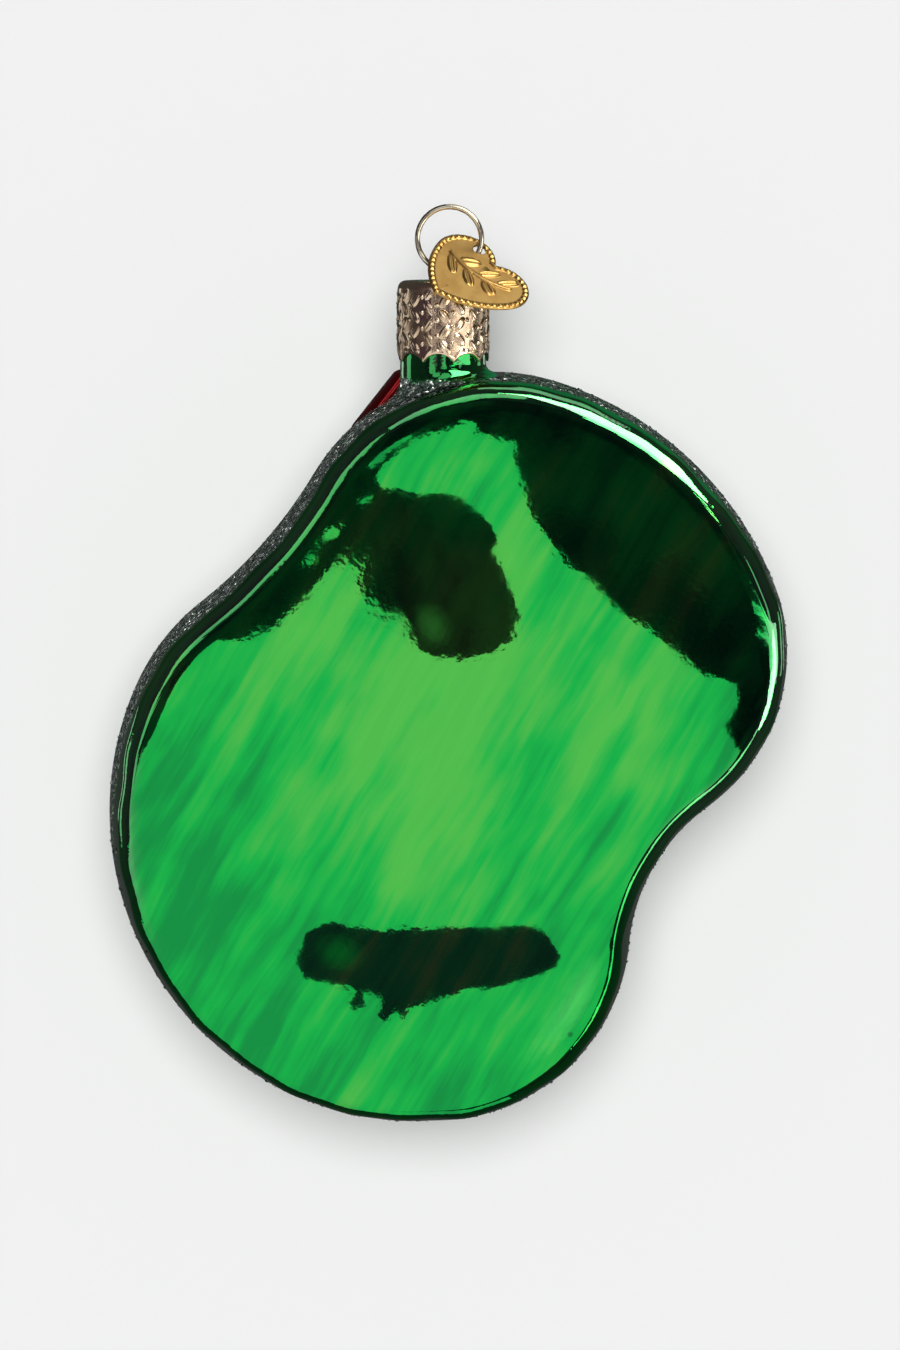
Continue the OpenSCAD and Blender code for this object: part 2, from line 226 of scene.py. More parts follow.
def from_shoulder(points):
    """Points measured from the neck axis and the shoulder, moved to the row frame."""
    return np.asarray(points, float) + (NECK_X, 0, SHOULDER_Z)


def heading(v):
    return math.atan2(v[1], v[0])


def ray(at):
    """Unit vector at an angle."""
    return np.array((math.cos(at), math.sin(at)))


def unit(v):
    """A vector brought to length 1."""
    return v / np.linalg.norm(v)


def around(number):
    """Angles evenly spaced round a turn."""
    return np.arange(number) * TURN / number


def arc(x, z, radius, start, stop, number):
    """Points along an arc from one angle to another."""
    return [(x + radius * math.cos(a), z + radius * math.sin(a)) for a in np.linspace(start, stop, number)]


def ease(value, low, high):
    """Smooth step from 0 at low to 1 at high."""
    t = np.clip((np.asarray(value, float) - low) / (high - low), 0, 1)
    return t * t * (3 - 2 * t)


def outline(number):
    """Points and outward normals round the widest line, evenly spaced, seen from the back."""
    spots, lobes = [np.array(lobe[:2]) for lobe in LOBES], len(LOBES)
    centres = []
    for i, r in enumerate(BRIDGES):
        j = (i + 1) % lobes
        ra, rb = (abs(r) - math.copysign(LOBES[k][2], r) for k in (i, j))
        v = spots[j] - spots[i]
        d = np.linalg.norm(v)
        t = (ra * ra - rb * rb + d * d) / (2 * d)
        h = math.copysign(math.sqrt(ra * ra - t * t), r)
        centres.append(spots[i] + v * t / d + np.array((-v[1], v[0])) * h / d)

    def meets(i, j):
        return heading(spots[i] - centres[j]) if BRIDGES[j] > 0 else heading(centres[j] - spots[i])

    arcs = []
    for i, r in enumerate(BRIDGES):
        start, a, b = meets(i, (i - 1) % lobes), meets(i, i), meets((i + 1) % lobes, i)
        arcs.append((spots[i], LOBES[i][2], start, (a - start) % TURN, 1))
        if r > 0:
            arcs.append((centres[i], r, a, (b - a) % TURN, 1))
        else:
            arcs.append((centres[i], -r, a + math.pi, -((a - b) % TURN), -1))
    lengths = np.array([abs(r * swing) for _, r, _, swing, _ in arcs])
    ends = np.concatenate(([0], np.cumsum(lengths)))
    points, normals = [], []
    for s in np.arange(number) * ends[-1] / number:
        k = min(np.searchsorted(ends, s, "right") - 1, len(arcs) - 1)
        at, r, start, swing, sign = arcs[k]
        out = ray(start + swing * (s - ends[k]) / lengths[k])
        points.append(at + r * out)
        normals.append(sign * out)
    return np.array(points), np.array(normals)


# Mesh building


def turned(faces):
    """Faces with their sides swapped."""
    return [f[::-1] for f in faces]


def grid_faces(rows, columns, closed=True):
    """Quads between rows of points; each row runs anticlockwise seen from outside its start."""

    def at(j, i):
        return j * columns + i % columns

    return [(at(j, i), at(j + 1, i), at(j + 1, i + 1), at(j, i + 1))
            for j in range(rows - 1) for i in range(columns if closed else columns - 1)]


def fan_faces(tip, first, columns):
    """Triangles that close a row of points on one point."""
    return [(tip, first + i, first + (i + 1) % columns) for i in range(columns)]


def capped_faces(rows, columns):
    """Rows of points, closed on the two points that follow them: one at the start, one at the end."""
    tip = rows * columns
    return (grid_faces(rows, columns) + fan_faces(tip, 0, columns)
            + turned(fan_faces(tip + 1, tip - columns, columns)))


def sweep(path, radii, columns, hint=(1.0, 0.0, 0.0)):
    """A round tube along a path, closed at both ends."""
    path = np.asarray(path, float)
    tangents = np.gradient(path, axis=0)
    tangents /= np.linalg.norm(tangents, axis=1)[:, None]
    side, points = np.asarray(hint, float), []
    for p, t, r in zip(path, tangents, radii):
        side = unit(side - t * (side @ t))
        other = np.cross(t, side)
        points += [p + r * (math.cos(a) * side + math.sin(a) * other) for a in around(columns)]
    return points + [path[0], path[-1]], turned(capped_faces(len(path), columns))


def add_mesh(name, points, faces, materials):
    """A mesh object in the row frame, from points in millimetres."""
    mesh = bpy.data.meshes.new(name)
    mesh.from_pydata((np.asarray(points, float) * MM).tolist(), [], faces)
    for material in materials:
        mesh.materials.append(material)
    mesh.update()
    obj = bpy.data.objects.new(name, mesh)
    bpy.context.scene.collection.objects.link(obj)
    return obj


def add_piece(name, points, faces, body, materials, zones=None):
    """A smooth mesh that rides on a body of the frame."""
    piece = add_mesh(name, points, faces, materials)
    polygons = piece.data.polygons
    if zones is not None:
        polygons.foreach_set("material_index", zones)
    polygons.foreach_set("use_smooth", [True] * len(polygons))
    piece.data.update()
    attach(piece, body)
    return piece


def add_glass(name, points, faces, materials, zones=None):
    """A piece of the glass bulb, from points measured from the shoulder."""
    return add_piece(name, from_shoulder(points), faces, "glass", materials, zones)


class Body:
    """The bulb's surface as rings of points from the crown of the back to the front."""

    COLUMNS = 320
    BACK, EDGE, WALL, LIP, FRONT = range(5)
    # Waves round the back edge: how many, and where each starts
    SWAY = ((3, 0.6), (8, 2.1), (13, 4.0), (21, 1.2), (37, 2.7))
    # Shares of the way out from the middle: the first ring, and the last one with a plain slope
    INNERMOST, NEAR_EDGE = 0.03, 0.985
    # The putting surface round the cup: how far it dips, and where it starts and ends past the bore
    CUP_DIP, DIP_START, DIP_END = 0.5, -0.1, 0.8
    GREEN_DROP = 0.15

    def __init__(self, settings):
        s = self.s = sizes(settings.bulb)
        self.points, self.normals = outline(self.COLUMNS)
        self.edge_y = s.back_crown - s.back_depth
        waves = sum(np.sin(n * around(self.COLUMNS) + phase) for n, phase in self.SWAY)
        self.round = s.back_round + s.back_sway * (waves / len(self.SWAY))
        self.turn_y = self.edge_y + s.back_round * (1 - math.sin(WALL_FLARE))
        self.flare = math.tan(WALL_FLARE) * (s.rim_depth - self.turn_y) / 2
        self.face_inset = self.flare + s.back_round * math.cos(WALL_FLARE)
        self.face = self.drawn_in(self.face_inset)
        away = self.face - MIDDLE
        self.start = np.arctan(2 * s.back_crown / np.einsum("ij,ij->i", away, self.normals))
        self.lip_y = s.rim_depth + s.front_rise * math.sin(FRONT_LIP)
        self.front_mid = self.lip_y + s.front_crown
        self.green_y = self.front_mid - self.GREEN_DROP * s.front_crown
        bearings = np.arctan2(away[:, 1], away[:, 0])
        order = np.argsort(bearings)
        self.angles, self.radii = bearings[order], np.linalg.norm(away, axis=1)[order]

    def drawn_in(self, inset):
        """The outline drawn in by one inset, or by one for each point."""
        return self.points - np.reshape(inset, (-1, 1)) * self.normals

    def rings(self):
        """Each ring's zone, points in the plane of the outline, and depths."""
        s, found, level = self.s, [], np.ones(self.COLUMNS)
        for k in np.linspace(self.INNERMOST, 1, 30):
            found.append((self.BACK, MIDDLE + (self.face - MIDDLE) * k,
                          level * (self.edge_y - s.back_crown * (1 - k * k))))
        for share in np.linspace(0, 1, 15)[1:]:
            a = self.start + (QUARTER - WALL_FLARE - self.start) * share
            inset = self.face_inset - self.round * (np.sin(a) - np.sin(self.start))
            y = self.edge_y + self.round * (np.cos(self.start) - np.cos(a))
            found.append((self.EDGE, self.drawn_in(inset), y))
        for share in np.linspace(1, 0, 13)[1:]:
            found.append((self.WALL, self.drawn_in(inset * share**2),
                          s.rim_depth - (s.rim_depth - y) * share))
        for b in np.linspace(0, FRONT_LIP, 13)[1:]:
            lip = self.drawn_in(s.front_round * (1 - math.cos(b)))
            found.append((self.LIP, lip, level * (s.rim_depth + s.front_rise * math.sin(b))))
        bore = s.cup_diameter / 2
        for k in np.linspace(1, self.INNERMOST, 40)[1:]:
            ring = MIDDLE + (lip - MIDDLE) * k
            far = np.linalg.norm(ring - CUP_AT, axis=1)
            dip = (s.cup_depth + self.CUP_DIP) * (1 - ease(far, bore + self.DIP_START, bore + self.DIP_END))
            found.append((self.FRONT, ring, self.lip_y + s.front_crown * (1 - k * k) - dip))
        return found

    def back_share(self, x, z):
        """0 at the middle of the back face and 1 at its edge."""
        away = (x - MIDDLE[0], z - MIDDLE[1])
        return math.hypot(*away) / np.interp(heading(away), self.angles, self.radii, period=TURN)

    def back_y(self, x, z):
        return self.edge_y - self.s.back_crown * (1 - min(self.back_share(x, z), 1) ** 2)

    def back_normal(self, x, z, step=0.2):
        """Outward normal of the back face at a point measured from the shoulder."""
        share = self.back_share(x, z)
        if share > self.NEAR_EDGE:
            x, z = MIDDLE + (np.array((x, z)) - MIDDLE) * self.NEAR_EDGE / share
        dx = (self.back_y(x + step, z) - self.back_y(x - step, z)) / (2 * step)
        dz = (self.back_y(x, z + step) - self.back_y(x, z - step)) / (2 * step)
        return unit(np.array((dx, -1.0, dz)))

    def shoulder_z(self, x, y):
        """Height of the wall under the neck, which is drawn in before and behind the widest line."""
        s, (cx, cz, r) = self.s, LOBES[1]
        if y > s.rim_depth:
            sine = min((y - s.rim_depth) / s.front_rise, 1)
            inset = s.front_round * (1 - math.sqrt(1 - sine * sine))
        else:
            inset = self.flare * ((s.rim_depth - y) / (s.rim_depth - self.turn_y)) ** 2
        return cz + math.sqrt((r - inset) ** 2 - (x - cx) ** 2)


# Shader building

# Depths in metres between which the back face goes over into its edge, for each effect
RIPPLE_EDGE, THICK_EDGE = (-0.00882, -0.0084), (-0.0088, -0.0080)
GLOSS_EDGE, GLOSS_END = (-0.00885, -0.00865), (-0.0076, -0.0082)
# Heights in metres between which the gloss of that edge comes up and the glitter draws off; the glitter
# drawing off is painted shade that darkens the foot of the rim
GLOSS_RISE, GLITTER_SHADE_FALL = (-0.084, -0.062), (-0.036, -0.088)
GLITTER_EDGE, NECK_EDGE, FRINGE_EDGE = (-0.0054, -0.0042), (-0.0177, -0.0183), (0.0080, 0.0076)
GREY = (0.5, 0.5, 0.5)
SPARK = (0.95, 1.0, 0.97)
BROWNED = (0.42, 0.33, 0.25)


class Tree:
    """Short forms for building one node tree."""

    def __init__(self, tree):
        self.tree = tree

    def fill(self, node, values):
        """Sets or links a node's inputs; a colour gets its alpha."""
        for key, value in values.items():
            socket = node.inputs[key]
            if isinstance(value, bpy.types.NodeSocket):
                self.tree.links.new(value, socket)
            elif socket.type == "RGBA" and len(value) == 3:
                socket.default_value = (*value, 1)
            else:
                socket.default_value = value

    def add(self, kind, values=None, **settings):
        """A node with its settings and inputs."""
        node = self.tree.nodes.new(kind)
        for name, value in settings.items():
            setattr(node, name, value)
        self.fill(node, values or {})
        return node

    def maths(self, operation, a, b):
        return self.add("ShaderNodeMath", {0: a, 1: b}, operation=operation).outputs[0]

    def plus(self, a, b):
        return self.maths("ADD", a, b)

    def minus(self, a, b):
        return self.maths("SUBTRACT", a, b)

    def times(self, a, b):
        return self.maths("MULTIPLY", a, b)

    def vector(self, operation, *values):
        """A sum of vectors; lengths and dot products come out as values."""
        node = self.add("ShaderNodeVectorMath", dict(enumerate(values)), operation=operation)
        return node.outputs["Value" if operation in {"LENGTH", "DOT_PRODUCT"} else 0]

    def parts(self, vector):
        return self.add("ShaderNodeSeparateXYZ", {0: vector}).outputs

    def joined(self, *values):
        return self.add("ShaderNodeCombineXYZ", dict(enumerate(values))).outputs[0]

    def between(self, value, low, high, to_low=0.0, to_high=1.0):
        """Maps a value from one range to another, clamped and smooth."""
        ends = {"Value": value, "From Min": low, "From Max": high, "To Min": to_low, "To Max": to_high}
        return self.add("ShaderNodeMapRange", ends, interpolation_type="SMOOTHSTEP").outputs["Result"]

    def mix(self, share, a, b):
        """A colour between two."""
        return self.add("ShaderNodeMix", {0: share, 6: a, 7: b}, data_type="RGBA").outputs[2]

    def blend(self, share, a, b):
        """A normal between two."""
        return self.add("ShaderNodeMix", {0: share, 4: a, 5: b}, data_type="VECTOR").outputs[1]

    def noise(self, vector, scale, detail=2.0, rough=0.5, output="Fac"):
        given = {"Vector": vector, "Scale": scale, "Detail": detail, "Roughness": rough}
        return self.add("ShaderNodeTexNoise", given).outputs[output]

    def bump(self, distance, height, strength=1.0, **others):
        given = {"Strength": strength, "Distance": distance, "Height": height, **others}
        return self.add("ShaderNodeBump", given).outputs[0]

    def place(self, kind="Object"):
        """Coordinates on the surface; the object's are in metres."""
        return self.add("ShaderNodeTexCoord").outputs[kind]

    def group(self, tree, **values):
        return self.add("ShaderNodeGroup", values, node_tree=tree).outputs


def empty_tree(block):
    """The node tree of a new material or world, cleared."""
    block.use_nodes = True
    block.node_tree.nodes.clear()
    return Tree(block.node_tree)


def shared_group(name, inputs, outputs):
    """A node group with named sockets, filled by the function below it when first asked for."""

    def wrap(build):
        def group():
            if name in bpy.data.node_groups:
                return bpy.data.node_groups[name]
            tree = bpy.data.node_groups.new(name, "ShaderNodeTree")
            for side, titles in (("INPUT", inputs), ("OUTPUT", outputs)):
                for title in titles:
                    kind = "NodeSocketVector" if title in {"Vector", "Normal"} else "NodeSocketFloat"
                    socket = tree.interface.new_socket(title, in_out=side, socket_type=kind)
                    if inputs.get(title):
                        socket.default_value = inputs[title]
            t = Tree(tree)
            made = build(t, t.add("NodeGroupInput").outputs)
            t.add("NodeGroupOutput", dict(zip(outputs, made)))
            return tree

        return group

    return wrap


@shared_group("Brush streaks", {"Vector": None}, ("Thin", "Thick", "Hair"))
def streaks_group(t, given):
    """Brush marks of the lacquer: bands and hairs along one slant, thin in the middle."""
    slant, centre, bend = ray(math.radians(59)), (0.001, 0.0, -0.056), 0.0022
    warp = t.vector("SUBTRACT", t.noise(given["Vector"], 60, output="Color"), GREY)
    bent = t.vector("MULTIPLY_ADD", warp, (bend,) * 3, given["Vector"])
    bent = t.vector("SUBTRACT", bent, centre)
    depth = t.times(t.parts(given["Vector"])[1], 40)

    def slanted(across, along):
        """The place in steps of two lengths, across the slant and along it."""
        u = t.vector("DOT_PRODUCT", bent, (-slant[1] / across, 0, slant[0] / across))
        v = t.vector("DOT_PRODUCT", bent, (slant[0] / along, 0, slant[1] / along))
        return t.joined(u, depth, v)

    bands = t.noise(slanted(0.0062, 0.030), 1)
    strokes = t.noise(slanted(0.0020, 0.022), 1, 3, 0.55)
    hairs = t.noise(slanted(0.0007, 0.010), 1, 3, 0.6)
    blots = t.noise(bent, 120)
    mixed = t.times(bands, 0.42)
    for marks, weight in ((strokes, 0.28), (hairs, 0.14), (blots, 0.16)):
        mixed = t.plus(mixed, t.times(marks, weight))
    far = t.vector("LENGTH", slanted(0.026, 0.040))
    mixed = t.plus(mixed, t.between(far, 0.35, 1.15, 0.065, -0.05))
    return t.between(mixed, 0.46, 0.60), t.between(mixed, 0.49, 0.37), t.between(hairs, 0.35, 0.65)


@shared_group("Glitter", {"Vector": None, "Scale": 3000.0, "Tip": 0.5}, ("Spark", "Tint", "Normal"))
def glitter_group(t, given):
    """Fine flakes: a random value and tint for each, and a normal that tips with them."""
    cell = {"Vector": given["Vector"], "Scale": given["Scale"]}
    flake = t.add("ShaderNodeTexVoronoi", cell).outputs["Color"]
    draws = t.add("ShaderNodeSeparateColor", {0: flake}).outputs
    lean = {0: t.vector("SUBTRACT", flake, GREY), "Scale": given["Tip"]}
    lean = t.add("ShaderNodeVectorMath", lean, operation="SCALE").outputs[0]
    tipped = t.vector("ADD", t.add("ShaderNodeNewGeometry").outputs["Normal"], lean)
    return t.between(draws[0], 0.72, 0.98), draws[1], t.vector("NORMALIZE", tipped)


@shared_group("Tarnish", {"Vector": None, "Scale": 400.0}, ("Cloud", "Grain"))
def tarnish_group(t, given):
    """Soft cloudy wear of thin plated metal, and a grain twelve times finer."""
    cloud = t.between(t.noise(given["Vector"], given["Scale"], 4, 0.6), 0.35, 0.7)
    return cloud, t.noise(given["Vector"], t.times(given["Scale"], 12.0))


def shade(tone, share):
    """A colour made darker or lighter."""
    return tuple(min(1.0, share * v) for v in tone)


def finish(name):
    """A new material, its tree, its surface shader and the place on the surface."""
    material = bpy.data.materials.new(name)
    t = empty_tree(material)
    shader = t.add("ShaderNodeBsdfPrincipled")
    t.add("ShaderNodeOutputMaterial", {"Surface": shader.outputs[0]})
    return material, t, shader, t.place()


def edge_mask(t, place, edge, sway=0.0012):
    """0 on the back face and 1 on its rounded edge, with an uneven line between the two depths."""
    uneven = t.times(t.minus(t.noise(place, 350, 3, 0.6), 0.5), sway)
    return t.between(t.plus(t.parts(place)[1], uneven), *edge)


def wavy(t, place, height=1.5e-6):
    """Normal of blown glass: slow waves, and fine ripples that come and go and grow on the edge."""
    patches = t.between(t.noise(place, 90), 0.38, 0.62, 0.30, 1.3)
    grown = t.plus(patches, t.times(edge_mask(t, place, RIPPLE_EDGE, 0.0002), 15.0))
    ripples = t.times(t.noise(place, 1500, 1.5, 0.45), grown)
    return t.bump(height, ripples, Normal=t.bump(3.0 * height, t.noise(place, 320)))


def lacquer_colour(t, place, c):
    """Streaked green lacquer over silver, thick towards the edge."""
    marks = t.group(streaks_group(), Vector=place)
    tone = t.mix(marks["Thin"], c.lacquer, c.lacquer_thin)
    edge = edge_mask(t, place, THICK_EDGE)
    for mask, share in ((marks["Thick"], 0.8), (marks["Hair"], 0.09), (edge, 0.5)):
        tone = t.mix(t.times(mask, share), tone, c.lacquer_thick)
    return tone


def lacquer_finish(c):
    """Mirrored glass under brushed green lacquer, with a few specks and a gloss round the edge."""
    material, t, shader, place = finish("green_lacquer")
    speck = t.add("ShaderNodeTexVoronoi", {"Vector": place, "Scale": 230.0}).outputs
    rare = t.maths("GREATER_THAN", t.add("ShaderNodeSeparateColor", {0: speck["Color"]}).outputs[0], 0.94)
    dots = t.times(rare, t.between(speck["Distance"], 0.11, 0.05))
    _, depth, height = t.parts(place)
    gloss = t.times(t.between(depth, *GLOSS_END), t.between(height, *GLOSS_RISE))
    t.fill(shader, {
        "Base Color": t.mix(t.times(dots, 0.55), lacquer_colour(t, place, c), c.rim), "Metallic": 1.0,
        "Roughness": t.between(t.noise(place, 300, 3, 0.6), 0.3, 0.8, 0.02, 0.04),
        "Coat Weight": t.times(gloss, edge_mask(t, place, GLOSS_EDGE, 0.0001)),
        "Coat Roughness": 0.02, "Coat IOR": 2.0, "Normal": wavy(t, place)})
    return material


def glittered(name, c, cover_of, coat=0.0):
    """Lacquer that goes over into glitter where cover_of puts it."""
    material, t, shader, place = finish(name)
    cover = cover_of(t, place)
    fine, coarse = (t.group(glitter_group(), Vector=place, Scale=scale, Tip=tip)
                    for scale, tip in ((4600.0, 2.6), (2600.0, 0.8)))
    tone = t.mix(coarse["Spark"], t.mix(fine["Tint"], c.rim, shade(c.glitter, 1.5)), SPARK)
    t.fill(shader, {
        "Base Color": t.mix(cover, lacquer_colour(t, place, c), tone),
        "Metallic": t.minus(1.0, t.times(cover, 0.35)),
        "Roughness": t.plus(t.times(cover, 0.12), 0.03),
        "Normal": t.blend(cover, wavy(t, place), fine["Normal"])})
    if coat:
        t.fill(shader, {"Coat Weight": t.times(t.minus(1.0, cover), coat), "Coat Roughness": 0.03})
    return material


def rim_finish_painted_shade(c):
    """Glitter on the wall, with a ragged edge towards the mirrored back; it draws off near the foot and
    towards the right, which paints shade on those sides.
    """

    def cover(t, place):
        right, depth, height = t.parts(place)
        ragged = t.plus(depth, t.times(t.noise(place, 1600, 4, 0.7), 0.0044))
        # painted shade: less glitter low down and towards the right, so the rim reads darker there
        ragged = t.minus(ragged, t.between(height, *GLITTER_SHADE_FALL, 0.0, 0.0062))
        ragged = t.minus(ragged, t.between(right, -0.006, 0.016, 0.0, 0.0018))
        return t.between(ragged, *GLITTER_EDGE)

    return glittered("rim_glitter_painted_shade", c, cover)


def neck_finish(c):
    """Lacquered neck that runs into the glitter at its root."""

    def cover(t, place):
        ragged = t.plus(t.parts(place)[2], t.times(t.noise(place, 600, 4, 0.65), 0.0016))
        return t.between(ragged, *NECK_EDGE)

    return glittered("neck_lacquer", c, cover, 0.8)


def green_finish(c):
    """Satin putting surface with a darker glittered fringe."""
    material, t, shader, place = finish("putting_green")
    fine = t.group(glitter_group(), Vector=place, Scale=3600.0, Tip=0.9)
    grass = t.noise(place, 900, 4, 0.65)
    tone = t.mix(t.between(grass, 0.3, 0.7), shade(c.green, 0.72), shade(c.green, 1.25))
    tone = t.mix(t.times(t.noise(place, 60, 3), 0.5), tone, c.fringe)
    ragged = t.plus(t.parts(place)[1], t.times(t.noise(place, 500, 4, 0.7), 0.0010))
    cover = t.between(ragged, *FRINGE_EDGE)
    fringe = t.mix(fine["Spark"], t.mix(fine["Tint"], c.fringe, shade(c.fringe, 2.2)), c.glitter)
    t.fill(shader, {
        "Base Color": t.mix(cover, tone, fringe), "Metallic": t.times(cover, 0.8),
        "Roughness": t.minus(0.42, t.times(cover, 0.12)),
        "Normal": t.blend(cover, t.bump(4e-5, grass, 0.35), fine["Normal"])})
    return material


def worn(name, tone, deep, scale, cloud, bump):
    """A material with cloudy wear and a fine grain, for its maker to complete."""
    material, t, shader, place = finish(name)
    wear = t.group(tarnish_group(), Vector=place, Scale=scale)
    t.fill(shader, {"Base Color": t.mix(t.times(wear["Cloud"], cloud), tone, deep),
                    "Normal": t.bump(bump, wear["Grain"])})
    return material, t, shader, wear


def paint_finish(name, tone, rough, cloud, coat=0.6, metallic=0.0):
    """Glossy lacquer with soft unevenness."""
    material, t, shader, wear = worn(name, tone, shade(tone, 0.55), 260.0, cloud, 3e-6)
    t.fill(shader, {
        "Roughness": t.between(wear["Grain"], 0.2, 0.8, rough * 0.8, rough * 1.25),
        "Metallic": metallic, "Coat Weight": coat, "Coat Roughness": 0.04})
    return material


def metal_finish(name, tone, rough, scale, cloud, bump=6e-6):
    """Thin plated metal with cloudy tarnish and a fine grain."""
    brown = tuple(v * share for v, share in zip(tone, BROWNED))
    material, t, shader, wear = worn(name, tone, brown, scale, cloud, bump)
    t.fill(shader, {"Roughness": t.between(wear["Cloud"], 0.0, 1.0, rough, rough + 0.16), "Metallic": 1.0})
    return material


# Pieces


def build_body(settings):
    """The moulded glass body: mirrored back, glittered rim and putting surface, open under the neck."""
    c, body = settings.colours, Body(settings)
    rings, n, bore = body.rings(), body.COLUMNS, body.s.neck_radius - BORE_MARGIN
    points = [(p[0], y, p[1]) for _, ring, depths in rings for p, y in zip(ring, depths)]
    points += [(MIDDLE[0], y, MIDDLE[1]) for y in (-body.s.back_depth, body.front_mid)]
    finish_of = {body.BACK: 0, body.EDGE: 0, body.WALL: 1, body.LIP: 1, body.FRONT: 2}
    zones = [finish_of[zone] for zone, _, _ in rings[1:] for _ in range(n)] + [0] * n + [2] * n
    in_bore = [z > UNDER_NECK and math.hypot(x, y) < bore for x, y, z in points]
    kept = [(face, zone) for face, zone in zip(capped_faces(len(rings), n), zones)
            if not any(in_bore[k] for k in face)]
    faces, zones = zip(*kept)
    piece = add_glass("bulb_body", points, faces, [lacquer_finish(c), rim_finish_painted_shade(c), green_finish(c)],
                      list(zones))
    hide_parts("glass_bulb")
    return piece


def build_neck(settings):
    """Neck with a melted rim and open bore, flared into the shoulder."""
    body, columns, steps = Body(settings), 128, 14
    s, top = body.s, NECK_TOP - SHOULDER_Z
    bore, half = s.neck_radius - s.neck_wall, s.neck_wall / 2
    profile = [(bore, z) for z in (-2.0, 3.0, 8.0, top - 0.4)]
    profile += arc((s.neck_radius + bore) / 2, top - half, half, math.pi, 0, 13)
    profile += [(s.neck_radius, z) for z in np.linspace(top - 1, 4, 6)]
    rows = [[(*(r * ray(a)), z) for a in around(columns)] for r, z in profile]
    under_cap = CAP_Z - sizes(settings.cap).height - SHOULDER_Z - 0.1
    widest, pinch, slip, sunk = 7.0, 0.7, 0.3, 0.03
    flares = []
    for way in map(ray, around(columns)):
        reach = widest - pinch * way[1] ** 2
        end, before = (body.shoulder_z(*(way * r)) for r in (reach, reach - slip))
        corner = end - (end - before) / slip * (reach - s.neck_radius)
        start = min(corner + s.flare, under_cap)
        flares.append([(*(way * ((1 - u * u) * s.neck_radius + u * u * reach)),
                        (1 - u) ** 2 * start + 2 * u * (1 - u) * corner + u * u * end - sunk * u)
                       for u in np.linspace(0, 1, steps)])
    rows += zip(*flares)
    return add_glass("bulb_neck", [p for row in rows for p in row], turned(grid_faces(len(rows), columns)),
                     [neck_finish(settings.colours)])


def build_flakes(settings):
    """Loose flakes that stand a little off the glittered rim."""
    body, sides = Body(settings), 6
    draw, off, tip = random.Random(7), 0.05, 0.45
    rings = [r for r in body.rings() if r[0] in (body.WALL, body.LIP)]
    points, faces = [], []

    def at(j, i):
        _, ring, depths = rings[j]
        return np.array((ring[i][0], depths[i], ring[i][1]))

    for _ in range(body.s.flakes):
        j, i = draw.randrange(1, len(rings) - 1), draw.randrange(body.COLUMNS)
        u, v = draw.random(), draw.random()
        along, across = at(j + 1, i) - at(j, i), at(j, (i + 1) % body.COLUMNS) - at(j, i)
        spot = at(j, i) + u * along + v * across
        if spot[2] > UNDER_NECK and math.hypot(spot[0], spot[1]) < BARE_REACH:
            continue
        normal = unit(np.cross(along, across))
        tipped = unit(normal + np.array([draw.uniform(-tip, tip) for _ in range(3)]))
        side = unit(np.cross(tipped, (0.3, 0.2, 0.9)))
        other, radius = np.cross(tipped, side), body.s.flake * draw.uniform(0.5, 1.0)
        faces.append(tuple(range(len(points), len(points) + sides)))
        points += [spot + off * normal + radius * (math.cos(a) * side + math.sin(a) * other)
                   for a in around(sides)]
    flake = metal_finish("rim_flakes", shade(settings.colours.glitter, 1.6), 0.18, 900.0, 0.2)
    return add_glass("rim_flakes", points, faces, [flake])


def flag_edge(s, per_corner=12, per_side=10):
    """Points and normals round the flag's soft-cornered outline, seen from the back."""
    points, normals = [], []
    for at, before, after in zip(FLAG_CORNERS, np.roll(FLAG_CORNERS, 1, 0), np.roll(FLAG_CORNERS, -1, 0)):
        a = heading((at[1] - before[1], before[0] - at[0]))
        swing = (heading((after[1] - at[1], at[0] - after[0])) - a) % TURN
        for u in np.linspace(0, 1, per_corner):
            normals.append(ray(a + u * swing))
            points.append(at + s.flag_round * normals[-1])
        for u in np.linspace(0, 1, per_side)[1:-1]:
            points.append(at + (after - at) * u + s.flag_round * normals[-1])
            normals.append(normals[-1])
    return np.array(points), np.array(normals)


def build_flag(settings):
    """Waved flag with a round edge, standing over the front's rounded edge."""
    body = Body(settings)
    s, (edge, normals) = body.s, flag_edge(body.s)
    lean, wave, sunk = math.tan(math.radians(7)), math.radians(38.57), 0.5
    back, soft = body.lip_y - s.flag_thickness + sunk, s.flag_round - 0.08
    centre, drawn = edge.mean(axis=0), edge - soft * normals

    def raised(x, z, share):
        thick = s.flag_thickness + s.flag_wave * np.sin(wave * x)
        return x, back - z * lean + share * thick, z

    rows = [(centre + (drawn - centre) * k, 0.0) for k in np.linspace(0.1, 0.9, 6)]
    rows += [(edge - soft * (1 - math.cos(a)) * normals, 0.5 + 0.5 * math.sin(a))
             for a in np.linspace(-QUARTER, QUARTER, 17)]
    rows += [(centre + (drawn - centre) * k, 1.0) for k in np.linspace(0.9, 0.1, 10)]
    points = [raised(x, z, share) for ring, share in rows for x, z in ring]
    points += [raised(*centre, share) for share in (0.0, 1.0)]
    red = paint_finish("flag_red", settings.colours.red, 0.10, 0.4, metallic=1.0)
    return add_glass("flag", points, capped_faces(len(rows), len(edge)), [red])


